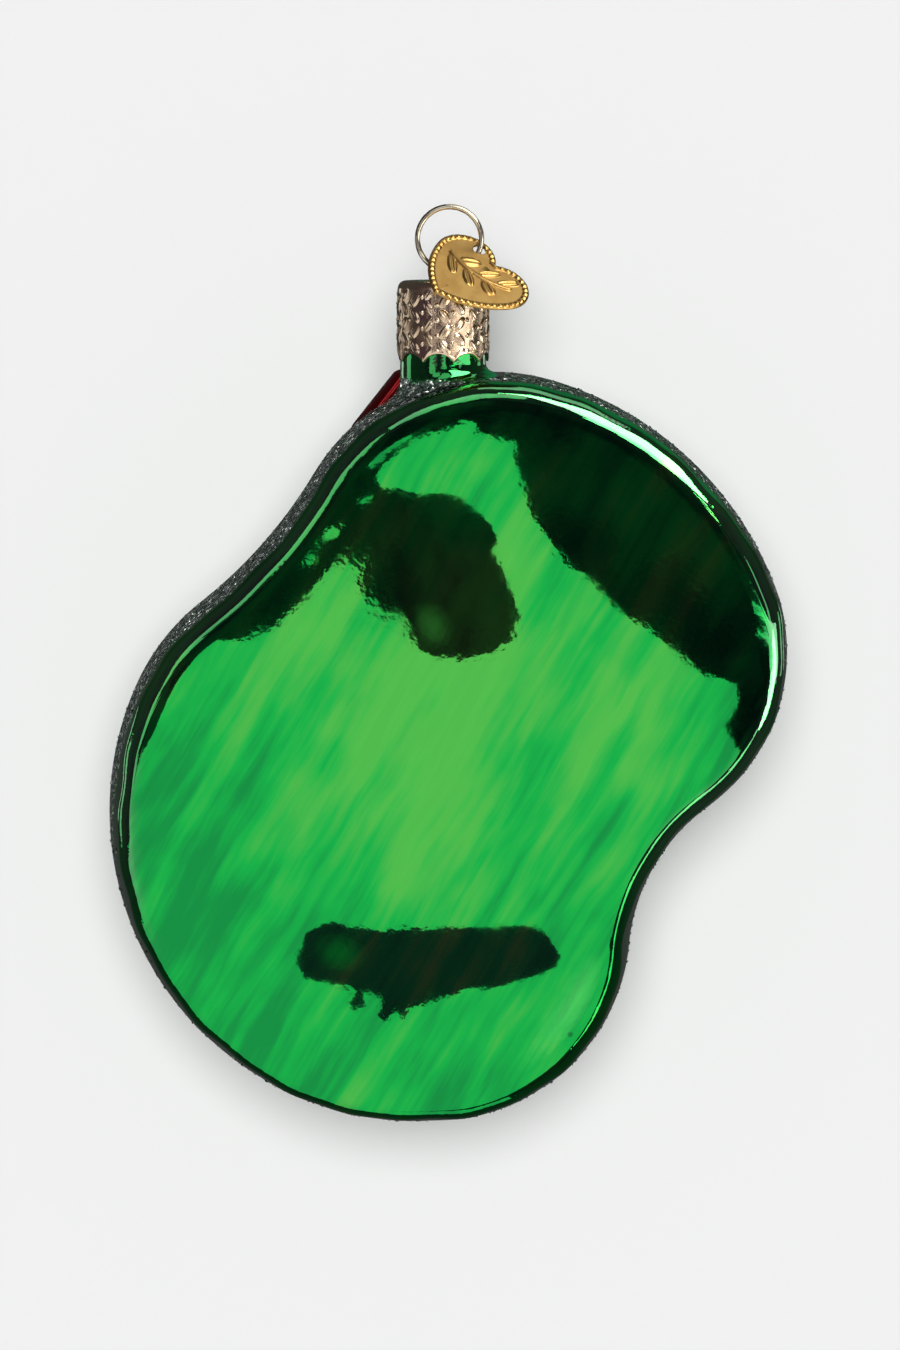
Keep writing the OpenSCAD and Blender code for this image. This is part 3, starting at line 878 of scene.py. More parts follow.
def build_stick(settings):
    """Flagstick from the lip of the cup to above the flag."""
    body = Body(settings)
    s, radius, proud, bend_share, drop = body.s, body.s.stick_diameter / 2, 0.4, 0.4, 0.3
    bend_at = STICK_TOP + (CUP_AT - STICK_TOP) * bend_share
    foot = np.array((CUP_AT[0], body.green_y + proud, CUP_AT[1]))
    bend = np.array((bend_at[0], body.front_mid - drop * s.front_crown + proud, bend_at[1]))
    tip = np.array((STICK_TOP[0], body.lip_y + 0.3, STICK_TOP[1]))
    start = foot + unit(bend - foot) * (s.cup_diameter + s.cup_lip) / 2
    path = [start + (bend - start) * u for u in np.linspace(0, 0.9, 20)]
    path += [bend + (start - bend) * 0.1 * (1 - u) ** 2 + (tip - bend) * 0.16 * u * u
             for u in np.linspace(0.1, 1, 8)]
    path += [bend + (tip - bend) * u for u in np.linspace(0.22, 1, 16)]
    radii = [radius] * len(path)
    for a in np.linspace(0.2, QUARTER - 0.05, 7):
        path.append(tip + unit(tip - bend) * math.sin(a) * radius)
        radii.append(math.cos(a) * radius)
    white = paint_finish("stick_white", settings.colours.white, 0.22, 0.2)
    return add_glass("flagstick", *sweep(path, radii, 20), [white])


def build_cup(settings):
    """Cup sunk in the putting surface, with a pale lip."""
    body, columns, soft = Body(settings), 72, 0.5
    c, s = settings.colours, body.s
    bore, half = s.cup_diameter / 2, s.cup_lip / 2
    profile = arc(bore + half, 0, half, -QUARTER / 2, math.pi, 16)
    lip_faces = (len(profile) - 1) * columns
    profile += [(bore, -u) for u in np.linspace(0.25, s.cup_depth - soft, 5)]
    profile += arc(bore - soft, soft - s.cup_depth, soft, -0.2, -QUARTER, 6)
    profile += [(r, -s.cup_depth) for r in np.linspace(bore - 0.9, 0.3, 7)]
    points = [(x, body.green_y + rise, z) for r, rise in profile
              for x, z in (CUP_AT + r * ray(a) for a in around(columns))]
    points.append((CUP_AT[0], body.green_y - s.cup_depth, CUP_AT[1]))
    last = len(points) - 1
    faces = grid_faces(len(profile), columns) + turned(fan_faces(last, last - columns, columns))
    zones = [0] * lip_faces + [1] * (len(faces) - lip_faces)
    lip = paint_finish("cup_lip_white", c.white, 0.25, 0.2)
    return add_glass("cup", points, faces, [lip, paint_finish("cup_dark", c.cup, 0.4, 0.5, 0.2)], zones)


def build_ball(settings):
    """Dimpled ball, cut off inside the glass."""
    body = Body(settings)
    s, radius, dimple_depth, buried = body.s, body.s.ball_diameter / 2, 0.13, 1.2
    centre = np.array((BALL_AT[0], body.green_y + s.ball_proud - radius, BALL_AT[1]))
    number = np.arange(s.dimples)
    golden, heights = math.pi * (3 - math.sqrt(5)), 1 - (2 * number + 1) / s.dimples
    rims = np.sqrt(1 - heights**2)
    spots = np.stack((rims * np.cos(golden * number), heights, rims * np.sin(golden * number)), 1)
    width = 0.78 * math.sqrt(4 / s.dimples)
    keep = body.green_y - buried - centre[1]
    bm = bmesh.new()
    bmesh.ops.create_icosphere(bm, subdivisions=6, radius=1)
    for v in list(bm.verts):
        if v.co.y * radius < keep:
            bm.verts.remove(v)
            continue
        near = np.linalg.norm(spots - np.array(v.co), axis=1).min()
        dip = dimple_depth * (1 - ease(near, 0.25 * width, width))
        v.co = Vector(centre) + v.co * (radius - float(dip))
    bm.verts.index_update()
    points = [tuple(v.co) for v in bm.verts]
    faces = [tuple(v.index for v in f.verts) for f in bm.faces]
    bm.free()
    white = paint_finish("ball_white", settings.colours.white, 0.28, 0.12, 0.5)
    return add_glass("ball", points, faces, [white])


def leaf_height(s, across, z):
    """Stamped leaves in tilted pairs with a bead between, as a height from 0 to 1."""
    step, rise, lean = TURN * s.radius / s.columns, 1.72, 0.62
    long, wide, vein_wide, bead_wide = 0.78, 0.40, 0.07, 0.22
    height = np.zeros_like(z)
    for di in (-1, 0, 1):
        for dj in (-1, 0, 1):
            col, row = np.floor(across / step) + di, np.floor(z / rise) + dj
            dx = across - (col + 0.5) * step
            dz = z - (row + 0.5 + 0.5 * (col % 2)) * rise
            tilt = np.where((col + row) % 2 < 1, lean, -lean)
            u, v = dx * np.sin(tilt) + dz * np.cos(tilt), dx * np.cos(tilt) - dz * np.sin(tilt)
            leaf = np.clip(1.15 - (u / long) ** 2 - (v / wide) ** 2, 0, 1)
            vein = 0.35 * np.exp(-((v / vein_wide) ** 2)) * (leaf > 0.2)
            bead = np.clip(1 - ((dx - step / 2) ** 2 + (dz - rise * 0.25) ** 2) / bead_wide**2, 0, 1)
            height = np.maximum(height, np.maximum(np.sqrt(leaf) - vein, np.sqrt(bead)))
    return height


def build_cap(settings):
    """Stamped cap: scalloped skirt, embossed leaves, soft top edge and open hole."""
    s, columns = sizes(settings.cap), 420
    at, lip, dish, rib_turn = around(columns), 0.25, 0.05, math.radians(-105)
    band_at, band_wide, band_high, rib_high = 0.22, 0.16, 0.06, 0.7

    def off(number, first):
        """Angle from the nearest of a number of marks, the first of which stands at an angle."""
        return (at - first + math.pi / number) % (TURN / number) - math.pi / number

    span = TURN * s.radius / s.scallops
    arch = (span * span / 4 + s.scallop_depth**2) / (2 * s.scallop_depth)
    across = np.minimum((s.radius * np.sin(off(s.scallops, s.scallop_turn))) ** 2, arch**2)
    low = np.maximum(0, s.scallop_depth - arch + np.sqrt(arch**2 - across))
    rib, groove = (np.exp(-((s.radius * off(s.ribs, rib_turn) / wide) ** 2)) for wide in (0.24, 0.09))
    top, rim = s.height - s.rounding, s.radius - s.emboss * 0.55
    flat, inner, soft = rim - s.rounding, rim - s.sheet + 0.07, s.rounding - s.sheet
    rows = []
    for u in np.linspace(0, 1, 84):
        z = low + (top - low) * u
        fade = ease(z, low + 0.15, low + 0.6) * ease(z, top + 0.1, top - 0.6)
        raised = s.emboss * leaf_height(s, s.radius * at, z) * fade
        raised = raised * (1 - 0.8 * rib) + rib_high * s.emboss * fade * (rib - 0.8 * groove)
        band = band_high * np.exp(-(((z - low - band_at) / band_wide) ** 2))
        rows.append((rim + raised * 0.75 + band, z))
    rows += arc(flat, top, s.rounding, 0, QUARTER, 11)[1:]
    rows += [(r, s.height - dish * (1 - ease(r, s.hole, flat)))
             for r in np.linspace(flat, s.hole + lip, 12)[1:]]
    rows += [(s.hole + lip - 0.2 * math.sin(a), s.height - dish - s.sheet / 2 * (1 - math.cos(a)))
             for a in np.linspace(0, math.pi, 8)[1:]]
    rows += arc(inner - soft, top, soft, QUARTER, 0, 6)
    rows += [(inner, low + (top - low) * u) for u in np.linspace(1, 0, 8)[1:]]
    points = [(NECK_X + r * math.cos(a), r * math.sin(a), CAP_Z - s.height + h)
              for radius, z in rows for r, a, h in zip(*np.broadcast_arrays(radius, at, z))]
    closed = turned(grid_faces(len(rows) + 1, columns))
    faces = [tuple(k % len(points) for k in f) for f in closed]
    gold = metal_finish("cap_metal", settings.colours.cap, 0.16, 500.0, 0.45)
    piece = add_piece("cap_shell", points, faces, "cap", [gold])
    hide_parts("cap")
    return piece


def wire_path(s):
    """Centre line of the hanger from one sprung end to the other, in the plane y = 0."""
    loop, out = s.loop / 2, s.loop / 2 + s.bend
    hub_z = -(loop - s.diameter / 2)
    spread_r, spread_z = 3.0, CAP_Z - 1
    halves, swings = [], []
    for lean in (-s.offset, s.offset):
        swing, leg_x = math.asin((s.leg_gap / 2 + s.bend + lean) / out), s.leg_gap / 2 + lean
        bend_x, bend_z = out * math.sin(swing), hub_z - out * math.cos(swing)
        bow = arc(leg_x + spread_r, spread_z, spread_r, math.pi + s.leg_spread, math.pi, 8)
        room = s.leg_reach - s.leg_gap / 2 - spread_r * (1 - math.cos(s.leg_spread))
        leg = room / math.sin(s.leg_spread) * ray(s.leg_spread - QUARTER)
        half = [tuple(bow[0] + leg * u) for u in np.linspace(1, 0.03, 14)] + bow
        half += [(leg_x, z) for z in np.linspace(spread_z, bend_z, 10)[1:-1]]
        half += arc(bend_x, bend_z, s.bend, math.pi, QUARTER + swing, 12)
        halves.append(half)
        swings.append(swing)
    ring = arc(0, hub_z, loop, swings[0] - QUARTER, 3 * QUARTER - swings[1], 110)[1:-1]
    right = [(x, 0.0, z) for x, z in halves[0] + ring]
    return right + [(-x, 0.0, z) for x, z in reversed(halves[1])]


def build_wire(settings):
    """One sprung wire: a round loop whose ends run through the cap and spread in the neck."""
    s = sizes(settings.wire)
    path = wire_path(s)
    points, faces = sweep(path, [s.diameter / 2] * len(path), 16, hint=(0.0, 1.0, 0.0))
    plated = metal_finish("wire_metal", settings.colours.wire, 0.14, 700.0, 0.3, 3e-6)
    piece = add_piece("wire_hanger", points, faces, "hanger", [plated])
    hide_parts("hanger_wire")
    return piece


def heart_edge(s, number):
    """Points, inward normals and shares of the way round the heart, anticlockwise from the notch."""
    hub = s.side - s.lobe
    notch = math.atan2(math.sqrt(s.lobe**2 - s.half**2), -s.half)
    centre = np.array((s.half - hub * math.cos(s.turn), hub * math.sin(s.turn)))
    low = -math.acos(-centre[0] / s.side)
    arcs = [(np.array((s.half, 0)), s.lobe, a) for a in np.linspace(notch, -s.turn, 400)]
    arcs += [(centre, s.side, a) for a in np.linspace(-s.turn, low, 300)[1:]]
    right = np.array([at + r * ray(a) for at, r, a in arcs])
    inward = np.array([-ray(a) for _, _, a in arcs])
    loop, normals = (np.concatenate((half[::-1], (half * (-1, 1))[1:-1])) for half in (right, inward))
    closed = np.concatenate((loop, loop[:1]))
    runs = np.concatenate(([0], np.cumsum(np.linalg.norm(np.diff(closed, axis=0), axis=1))))
    marks = np.arange(number) * runs[-1] / number
    pick = np.searchsorted(runs, marks, "right") - 1
    share = ((marks - runs[pick]) / (runs[pick + 1] - runs[pick]))[:, None]
    return closed[pick] * (1 - share) + closed[pick + 1] * share, normals[pick], marks / runs[-1]


def sprig_height(x, z):
    """A plain leafy sprig across the heart, as a height from 0 to 1."""

    def rotated(a, p, q):
        return p * math.cos(a) + q * math.sin(a), -p * math.sin(a) + q * math.cos(a)

    stem, reach, leaves, apart, long, wide, vein = 0.28, 4.1, 6, 1.25, 1.35, 0.62, 0.16
    u, v = rotated(math.radians(14), x, z + 0.8)
    v = v - 0.06 * u * u + 0.35
    height = 0.8 * np.sqrt(np.clip(1 - (v / stem) ** 2, 0, 1) * (np.abs(u) < reach))
    for k in range(leaves):
        side = 1 if k % 2 else -1
        p, q = rotated(side * 0.75, u - (-3.5 + apart * k) - 0.7, v - side * 1.1)
        leaf = np.clip(1 - (p / long) ** 2 - (q / wide) ** 2, 0, 1)
        height = np.maximum(height, np.sqrt(leaf) * (1 - 0.7 * np.exp(-((q / vein) ** 2))))
    return height


def tag_axes(lean):
    """Directions across, up and out of the tag's face at rest."""
    turn = Matrix.Rotation(TAG_YAW, 3, "Z") @ Matrix.Rotation(TAG_ROLL, 3, "Y")
    turn = turn @ Matrix.Rotation(-lean, 3, "X")
    return [np.array(turn @ Vector(axis)) for axis in ((1, 0, 0), (0, 0, 1), (0, -1, 0))]


def tag_lean(cap, tag):
    """Lean at which the tag rests on the rounded edge of the cap, by halving."""
    low, high = math.radians(30), QUARTER
    edge = np.array((NECK_X, 0, CAP_Z - cap.rounding))
    for _ in range(40):
        mid = (low + high) / 2
        n = tag_axes(mid)[2]
        cap_reach = (cap.radius - cap.rounding) * math.hypot(n[0], n[1]) + cap.rounding
        room = n @ (HANG_AT - edge) - cap_reach - tag.sheet / 2
        low, high = (mid, high) if room < TAG_GAP else (low, mid)
    return (low + high) / 2


def build_tag(settings):
    """Stamped heart with a beaded border and a leafy sprig, cut through for the loop."""
    s = sizes(settings.tag)
    columns, half, soft, foot = s.beads * 8, s.sheet / 2, 0.12, -3
    bead_at, bead_wide, sunk, dome = 0.42, 0.30, 0.03, 0.05
    edge, inward, share = heart_edge(s, columns)
    middle = np.array((0.0, -1.6))

    def drawn_in(inset):
        """The edge drawn in, with what would cross the middle line at the foot kept on it."""
        ring = edge + inward * inset
        low = edge[:, 1] < foot
        past = low & (edge[:, 0] * ring[:, 0] <= 0)
        ring[past] = (0, ring[low & ~past][:, 1].min())
        return ring

    bends = np.linspace(-QUARTER, QUARTER, 5)
    rows = [(middle + (drawn_in(soft) - middle) * k, -half) for k in np.linspace(0.05, 1, 8)[:-1]]
    rows += [(drawn_in(soft * (1 - math.cos(a))), half * math.sin(a)) for a in bends]
    beads = 0.18 + 0.82 * np.sqrt(0.5 + 0.5 * np.cos(TURN * s.beads * share))
    for inset in np.linspace(soft, s.border, 12)[1:]:
        hump = np.clip(1 - ((inset - bead_at) / bead_wide) ** 2, 0, 1)
        rows.append((drawn_in(inset), half + s.bead * np.sqrt(hump) * beads))
    inner = drawn_in(s.border)
    for k in np.linspace(1, 0.03, 44)[1:]:
        ring = middle + (inner - middle) * k
        rise = s.emboss * sprig_height(ring[:, 0], ring[:, 1]) * ease(1 - k, 0.02, 0.12)
        rows.append((ring, half - sunk + dome * (1 - k**4) + rise))
    points = [(x, z, h) for ring, height in rows for (x, z), h in zip(ring, np.broadcast_to(height, columns))]
    points += [(*middle, -half), (*middle, rows[-1][1].mean())]
    across, up, out = tag_axes(tag_lean(sizes(settings.cap), s))
    place = [HANG_AT + (x - TAG_HOLE[0]) * across + (z - TAG_HOLE[1]) * up + h * out for x, z, h in points]
    gold = metal_finish("tag_metal", settings.colours.tag, 0.30, 450.0, 0.25, 8e-6)
    piece = add_piece("tag_heart", place, turned(capped_faces(len(rows), columns)), "tag", [gold])
    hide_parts("tag")
    bm = bmesh.new()
    bm.from_mesh(piece.data)
    bmesh.ops.remove_doubles(bm, verts=bm.verts, dist=1e-7)
    bm.to_mesh(piece.data)
    bm.free()
    punch(piece, HANG_AT, out, s.hole)
    return piece


def punch(piece, at, axis, radius, deep=3):
    """Cuts a round hole through a thin piece."""
    bm = bmesh.new()
    turn = Vector(axis).to_track_quat("Z", "Y").to_matrix().to_4x4()
    bmesh.ops.create_cone(bm, cap_ends=True, segments=48, radius1=radius * MM, radius2=radius * MM,
                          depth=deep * MM, matrix=Matrix.Translation(Vector(at) * MM) @ turn)
    mesh = bpy.data.meshes.new("punch")
    bm.to_mesh(mesh)
    bm.free()
    tool = bpy.data.objects.new("punch", mesh)
    bpy.context.scene.collection.objects.link(tool)
    cut = piece.modifiers.new("Hole", "BOOLEAN")
    cut.operation, cut.solver, cut.object = "DIFFERENCE", "EXACT", tool
    done = bpy.data.meshes.new_from_object(piece.evaluated_get(bpy.context.evaluated_depsgraph_get()))
    old = piece.data
    piece.modifiers.clear()
    piece.data = done
    done.name = piece.name
    bpy.data.meshes.remove(old)
    bpy.data.objects.remove(tool)
    bpy.data.meshes.remove(mesh)


# Stage


def corners(x0, z0, x1, z1):
    """Corners of a rectangle."""
    return (x0, z0), (x1, z0), (x1, z1), (x0, z1)


CAMERA_TURN, CAMERA_RISE, CAMERA_FAR = math.radians(-2), math.radians(4), 1000.0
AIM = np.array((0.06, 0.0, -51.67))
FRAME_HIGH = 150.0
CARD_Y, FLAG_Y, FLECK_Y, OVER_Z = -200.0, -150.0, -130.0, 420.0
BACKDROP_Y, BACKDROP_FAR = 50.0, 4000.0

# Sun lamps: name, strength, spread in degrees, and the way each shines
LAMPS = (("soft_key", 2.45, 14, (0.035, 1.0, -0.12)), ("soft_fill", 1.2, 60, (0.25, -1.0, -0.35)))

# Light of the cards: tone, strength, and the directions along which it dies away
GLOWS = {
    "light": ((1, 1, 1), 1.0),
    "dark": ((0.19, 0.043, 0.110), 1.0),
    "half": ((1, 1, 1), 0.17, ((2.4, 0, 0.8), (-0.5, 0, 1.9))),
    "bright": ((3.5, 0.85, 1.0), 1.6, ((4.0, 0, -4.0), (1.0, 0, 1.0))),
    "strong": ((1, 0.95, 0.88), 6.5),
    "pale": ((1, 1, 1), 0.9),
    "warm": ((1, 0.97, 0.94), 2.2),
    "green": ((0.06, 0.60, 0.24), 0.34),
}

# Where the light of the big front card ends on the back, as x and z on the plane of the loop
LIGHT_EDGE = (
    (-39.0, -58.6), (-36.2, -57.2), (-34.4, -54.6), (-32.1, -50.7), (-29.4, -48.6), (-26.0, -47.7),
    (-21.9, -47.3), (-19.4, -46.2), (-16.9, -44.0), (-14.0, -40.8), (-13.1, -39.1), (-12.0, -38.8),
    (-9.8, -39.6), (-10.2, -41.1), (-9.0, -43.3), (-6.8, -44.8), (-4.9, -45.4), (-4.1, -47.3),
    (-3.6, -48.7), (-1.7, -49.8), (1.1, -50.0), (4.6, -49.3), (7.1, -47.8), (7.7, -45.2), (6.5, -41.4),
    (4.6, -37.7), (5.4, -36.7), (4.6, -34.8), (3.3, -33.6), (1.1, -32.1), (-0.8, -31.5), (-3.0, -31.7),
    (-6.2, -31.0), (-7.4, -31.0), (-8.2, -30.1), (-7.7, -28.8), (-5.2, -26.3), (-3.6, -25.2), (-0.2, -24.3),
    (1.4, -23.4), (3.0, -23.8), (2.8, -24.7), (7.4, -25.8), (7.1, -27.6), (7.9, -30.0), (8.8, -33.2),
    (10.3, -35.3), (12.0, -37.6), (13.5, -39.9), (15.6, -41.2), (17.5, -43.0), (19.2, -44.7), (21.6, -46.2),
    (23.7, -47.7), (25.2, -49.1), (27.0, -50.6), (28.6, -51.6), (31.9, -52.6), (32.1, -54.7), (30.7, -57.3),
    (31.9, -59.7),
)
# The rest of that card's outline, out of sight, as x and z on its own plane
CARD_REST = ((82.0, -98.0), (104.0, -122.0), (104.0, -190.0), (70.0, -300.0), (-160.0, -480.0),
             (-420.0, -350.0), (-380.0, -150.0))
# The dark bar low on the back
BAR_EDGE = (
    (-16.9, -83.8), (-16.7, -82.3), (-16.0, -80.4), (-14.9, -79.6), (-13.2, -79.1), (-10.9, -79.7),
    (-7.5, -80.0), (-4.1, -79.8), (-0.2, -79.7), (3.8, -79.8), (9.5, -79.6), (10.9, -80.7), (12.3, -82.9),
    (11.9, -84.2), (9.5, -85.2), (7.2, -85.8), (5.3, -86.3), (2.1, -86.6), (-0.7, -87.6), (-2.9, -88.2),
    (-4.4, -88.6), (-5.2, -90.0), (-5.9, -88.9), (-7.0, -90.2), (-7.9, -89.5), (-7.4, -88.0), (-8.3, -87.0),
    (-9.8, -87.0), (-9.4, -88.4), (-10.4, -89.0), (-11.4, -88.2), (-10.5, -87.2), (-11.2, -86.5),
    (-13.2, -86.1), (-16.0, -85.2),
)
# Small pieces of light near the edge of the front card, soft smears, and a streak at the lower right
FLECKS = (
    ("light", ((-9.4, -28.1), (-8.3, -26.9), (-6.6, -25.7), (-4.3, -24.8), (-4.1, -25.2), (-5.9, -26.3),
               (-7.7, -27.8), (-8.6, -28.6))),
    ("light", ((-14.3, -36.7), (-14.0, -35.9), (-13.1, -35.3), (-12.1, -35.4), (-12.3, -36.1),
               (-13.4, -36.7))),
    ("light", ((-16.2, -38.8), (-15.6, -38.3), (-14.8, -38.8), (-15.1, -39.5), (-15.9, -39.4))),
    ("light", ((-10.2, -32.5), (-9.6, -32.0), (-8.5, -31.6), (-8.8, -32.1), (-9.8, -32.6))),
    ("half", corners(-5.0, -43.0, 1.4, -49.4)),
    ("half", corners(-16.4, -79.8, -8.2, -85.2)),
    ("bright", corners(7.6, -82.2, 17.0, -96.4)),
)

# Curved cards: name, turn and tilt in degrees, light, taper, seed, and what else differs
DOTS = ((33.4, 34, 5), (30.8, 31, 4), (28.0, 27, 4), (26.2, 24, 3))
DOT_TURN = 0.4
DOME_CARDS = (
    ("card_high_right", (35.5, 86), (18, 84), "strong", 0.97, 1, {"sway": 0.10, "peak": 0.22, "sharp": 1.5}),
    *(("card_dot_%d" % i, (turn - DOT_TURN, turn + DOT_TURN), (tilt - wide, tilt + wide), "strong",
       0.0, 1, {}) for i, (turn, tilt, wide) in enumerate(DOTS)),
    ("card_right", (-28, 4), (38, 66), "strong", 0.85, 2,
     {"sway": 0.22, "at": (16.7, 0.0, -49.3), "far": 130.0}),
    ("card_low_right", (-44, -6), (43, 52), "warm", 0.6, 7,
     {"sway": 0.5, "at": (-1.5, 0.0, -79.6), "far": 130.0}),
    ("card_far_right", (-2, 22), (40, 48), "pale", 0.6, 3, {}),
    ("card_cap", (-11, 6), (18, 76), "warm", 0.0, 12, {}),
    ("card_top", (76, 122), (20, 50), "light", 0.5, 4, {}),
    ("card_behind", (24, 96), (130, 162), "green", 0.5, 8, {"sway": 0.5}),
    ("card_high_left", (124, 164), (18, 40), "pale", 0.9, 5, {"sway": 0.4}),
    ("card_left", (162, 212), (24, 40), "pale", 0.6, 6, {"sway": 0.9}),
    ("card_low", (206, 292), (56, 84), "light", 0.3, 9, {}),
    ("card_side_0", (170, 190), (100, 116), "light", 0.0, 13, {}),
    ("card_side_1", (170, 190), (136, 150), "light", 0.0, 14, {}),
    ("card_side_2", (-10, 10), (104, 118), "light", 0.0, 15, {}),
    ("card_side_3", (-10, 10), (138, 150), "light", 0.0, 16, {}),
)
LEAST_TILT = 15
# Waves along a curved card's edge: how many, and how strong
CARD_WAVES = ((17, 1.0), (39, 0.7), (83, 0.5))


def camera_frame():
    """The camera's place, and its right, up and forward directions."""
    back = np.array((math.sin(CAMERA_TURN) * math.cos(CAMERA_RISE),
                     -math.cos(CAMERA_TURN) * math.cos(CAMERA_RISE), math.sin(CAMERA_RISE)))
    right = unit(np.cross((0, 0, 1), back))
    return AIM + CAMERA_FAR * back, right, np.cross(back, right), -back


def bounced(body, spots, plane_y):
    """Where the camera's rays through points of the plane of the loop land after the back face."""
    eye, right, up, _ = camera_frame()
    found = []
    for x, z in spots:
        line = unit(AIM + (x - AIM[0]) * right + (z - AIM[2]) * up - eye)
        depth = -9.5
        for _ in range(5):
            hit = eye + line * ((depth - eye[1]) / line[1])
            spot = hit[0] - NECK_X, hit[2] - SHOULDER_Z
            depth = body.back_y(*spot)
        n = body.back_normal(*spot)
        out = line - 2 * (line @ n) * n
        found.append(hit + out * ((plane_y - hit[1]) / out[1]))
    return found


def glow(name, tone, strength, fade=()):
    """Plain light of a card; it dies away along the directions in fade, over the card's box."""
    material = bpy.data.materials.new(name)
    t = empty_tree(material)
    light = t.add("ShaderNodeEmission", {"Color": tone, "Strength": strength}).outputs[0]
    if fade:
        middle = t.vector("SUBTRACT", t.place("Generated"), GREY)
        spread = t.vector("LENGTH", t.joined(*(t.vector("DOT_PRODUCT", middle, run) for run in fade)))
        clear = t.add("ShaderNodeBsdfTransparent").outputs[0]
        mask = t.between(spread, 0.0, 1.0, 1.0, 0.0)
        light = t.add("ShaderNodeMixShader", {0: mask, 1: clear, 2: light}).outputs[0]
    t.add("ShaderNodeOutputMaterial", {"Surface": light})
    return material


def add_stage(name, points, material, faces=None):
    """A stage mesh, of one face if none are given."""
    obj = add_mesh(name, points, faces or [tuple(range(len(points)))], [material])
    return obj


def add_card(name, points, material, faces=None):
    """A stage mesh that shows in mirrors alone."""
    card = add_stage(name, points, material, faces)
    card.visible_camera = card.visible_diffuse = card.visible_shadow = False
    card.visible_transmission = card.visible_volume_scatter = False


def dome_card(name, turn, tilt, material, taper, seed, sway=0.16, peak=0.5, sharp=0.8, at=AIM, far=600.0):
    """A curved card with one uneven edge: turn round the view axis and tilt away from it, in degrees."""
    draw, along, across = random.Random(seed), 48, 5
    phases = [draw.uniform(0, TURN) for _ in CARD_WAVES]
    points = []
    for v in np.linspace(-1, 1, across):
        for u in np.linspace(0, 1, along):
            swing = sum(size * math.sin(n * u + phase) for (n, size), phase in zip(CARD_WAVES, phases))
            hump = math.sin(math.pi * u ** (math.log(0.5) / math.log(peak)))
            wide = (1 - taper + taper * max(hump, 0) ** sharp) * (1 + sway * swing * (v < 0))
            a = math.radians(turn[0] + (turn[1] - turn[0]) * u)
            b = (tilt[0] + tilt[1]) / 2 + v * wide * (tilt[1] - tilt[0]) / 2
            b = math.radians(max(LEAST_TILT, b))
            way = np.array((math.sin(b) * math.cos(a), -math.cos(b), math.sin(b) * math.sin(a)))
            points.append(np.array(at) + far * way)
    add_card(name, points, material, grid_faces(across, along, closed=False))


def add_backdrop(tone):
    """Pale backdrop that takes shadows, clear from behind and unseen by mirrors."""
    wall = bpy.data.materials.new("backdrop_pale")
    t = empty_tree(wall)
    matt = t.add("ShaderNodeBsdfDiffuse", {"Color": tone}).outputs[0]
    clear = t.add("ShaderNodeBsdfTransparent").outputs[0]
    behind = t.add("ShaderNodeNewGeometry").outputs["Backfacing"]
    mixed = t.add("ShaderNodeMixShader", {0: behind, 1: matt, 2: clear}).outputs[0]
    t.add("ShaderNodeOutputMaterial", {"Surface": mixed})
    far = BACKDROP_FAR
    points = [(x, BACKDROP_Y, z) for x, z in corners(-far, -far, far, far)]
    add_stage("backdrop", points, wall).visible_glossy = False


def add_world(tone):
    """An even sky, a dim hazy room for mirrors, and the backdrop's tone for the camera."""
    world = bpy.data.worlds.new("studio")
    t = empty_tree(world)
    path, place = t.add("ShaderNodeLightPath").outputs, t.place("Generated")
    haze = t.between(t.noise(place, 15, 3, 0.55), 0.36, 0.66)
    dim = t.mix(haze, (0.045, 0.015, 0.040), (0.075, 0.056, 0.075))
    room = t.mix(t.between(t.parts(place)[1], -0.8, 0.2), dim, (0.06,) * 3)
    sky = t.mix(path["Is Glossy Ray"], (0.23,) * 3, room)
    sky = t.mix(path["Is Camera Ray"], sky, tone)
    light = t.add("ShaderNodeBackground", {"Color": sky, "Strength": 1.0}).outputs[0]
    t.add("ShaderNodeOutputWorld", {"Surface": light})
    bpy.context.scene.world = world


def add_aimed(name, data, way):
    """A lamp or camera that looks along a direction."""
    obj = bpy.data.objects.new(name, data)
    obj.rotation_mode = "QUATERNION"
    obj.rotation_quaternion = Vector(way).to_track_quat("-Z", "Y")
    bpy.context.scene.collection.objects.link(obj)
    return obj


def build_stage(settings):
    """Pale backdrop, soft light, cards that the mirrored glass reflects, and the camera."""
    scene, body, tone = bpy.context.scene, Body(settings), tuple(settings.colours.backdrop)
    scene.view_settings.view_transform = "Standard"
    add_backdrop(tone)
    add_world(tone)
    for name, energy, spread, way in LAMPS:
        lamp = bpy.data.lights.new(name, "SUN")
        lamp.energy, lamp.angle = energy, math.radians(spread)
        add_aimed(name, lamp, way).visible_glossy = False

    glows = {name: glow("card_" + name, *values) for name, values in GLOWS.items()}
    rest = [np.array((x, CARD_Y, z)) for x, z in CARD_REST]
    add_card("card_front", bounced(body, LIGHT_EDGE, CARD_Y) + rest, glows["light"])
    add_card("flag_bar", bounced(body, BAR_EDGE, FLAG_Y), glows["dark"])
    for i, (light, rim) in enumerate(FLECKS):
        add_card("fleck_%d" % i, bounced(body, rim, FLECK_Y), glows[light])
    for name, turn, tilt, light, taper, seed, others in DOME_CARDS:
        dome_card(name, turn, tilt, glows[light], taper, seed, **others)
    add_card("card_over", [(x, y, OVER_Z) for x, y in corners(-30.0, -60.0, 300.0, 200.0)], glows["light"])

    lens = bpy.data.cameras.new("camera")
    lens.lens = lens.sensor_width * CAMERA_FAR / FRAME_HIGH
    lens.clip_start, lens.clip_end = 0.01, 20
    eye, _, _, forward = camera_frame()
    scene.camera = add_aimed("camera", lens, forward)
    scene.camera.location = Vector(eye * MM)


# Operators, panel and registration


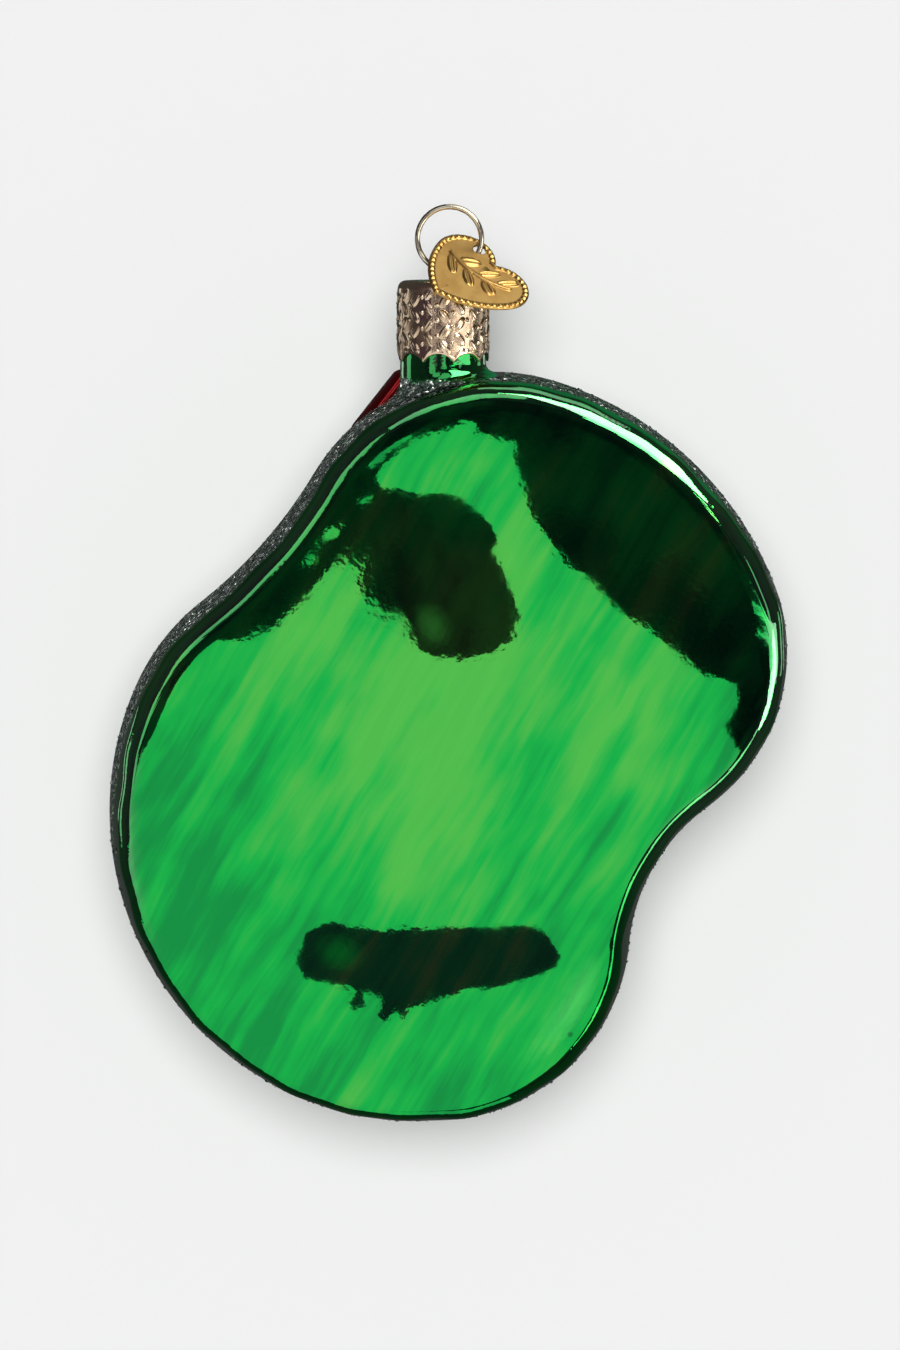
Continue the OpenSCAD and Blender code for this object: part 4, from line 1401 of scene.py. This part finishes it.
class ORNAMENT_OT_stage(bpy.types.Operator):
    """Set up the backdrop, the lights, the cards and the camera"""

    bl_idname = "ornament.stage"
    bl_label = "Stage"

    def execute(self, context):
        build_stage(context.scene.ornament)
        return {"FINISHED"}


class ORNAMENT_OT_bulb(bpy.types.Operator):
    """Build the mirrored glass body, its neck and the loose glitter"""

    bl_idname = "ornament.bulb"
    bl_label = "Glass bulb"

    def execute(self, context):
        for build in (build_body, build_neck, build_flakes):
            build(context.scene.ornament)
        return {"FINISHED"}


class ORNAMENT_OT_relief(bpy.types.Operator):
    """Build the flag, flagstick, cup and ball on the front"""

    bl_idname = "ornament.relief"
    bl_label = "Front relief"

    def execute(self, context):
        for build in (build_flag, build_stick, build_cup, build_ball):
            build(context.scene.ornament)
        return {"FINISHED"}


class ORNAMENT_OT_cap(bpy.types.Operator):
    """Build the stamped cap"""

    bl_idname = "ornament.cap"
    bl_label = "Cap"

    def execute(self, context):
        build_cap(context.scene.ornament)
        return {"FINISHED"}


class ORNAMENT_OT_wire(bpy.types.Operator):
    """Build the wire hanger"""

    bl_idname = "ornament.wire"
    bl_label = "Wire hanger"

    def execute(self, context):
        build_wire(context.scene.ornament)
        return {"FINISHED"}


class ORNAMENT_OT_tag(bpy.types.Operator):
    """Build the heart tag"""

    bl_idname = "ornament.tag"
    bl_label = "Heart tag"

    def execute(self, context):
        build_tag(context.scene.ornament)
        return {"FINISHED"}


STEPS = (ORNAMENT_OT_bulb, ORNAMENT_OT_relief, ORNAMENT_OT_cap, ORNAMENT_OT_wire, ORNAMENT_OT_tag,
         ORNAMENT_OT_stage)


class ORNAMENT_PT_build(bpy.types.Panel):
    """Lists the steps that build the ornament"""

    bl_label = "Ornament"
    bl_idname = "ORNAMENT_PT_build"
    bl_space_type = "VIEW_3D"
    bl_region_type = "UI"
    bl_category = "Ornament"

    def draw(self, context):
        for step in STEPS:
            self.layout.operator(step.bl_idname)


CLASSES = (OrnamentBulbSizes, OrnamentCapSizes, OrnamentWireSizes, OrnamentTagSizes, OrnamentColours,
           OrnamentSettings, *STEPS, ORNAMENT_PT_build)


def register():
    for cls in CLASSES:
        bpy.utils.register_class(cls)
    bpy.types.Scene.ornament = PointerProperty(type=OrnamentSettings)


def unregister():
    del bpy.types.Scene.ornament
    for cls in reversed(CLASSES):
        bpy.utils.unregister_class(cls)


def main():
    register()
    for step in STEPS:
        group, name = step.bl_idname.split(".")
        getattr(getattr(bpy.ops, group), name)()


if __name__ == "__main__":
    main()
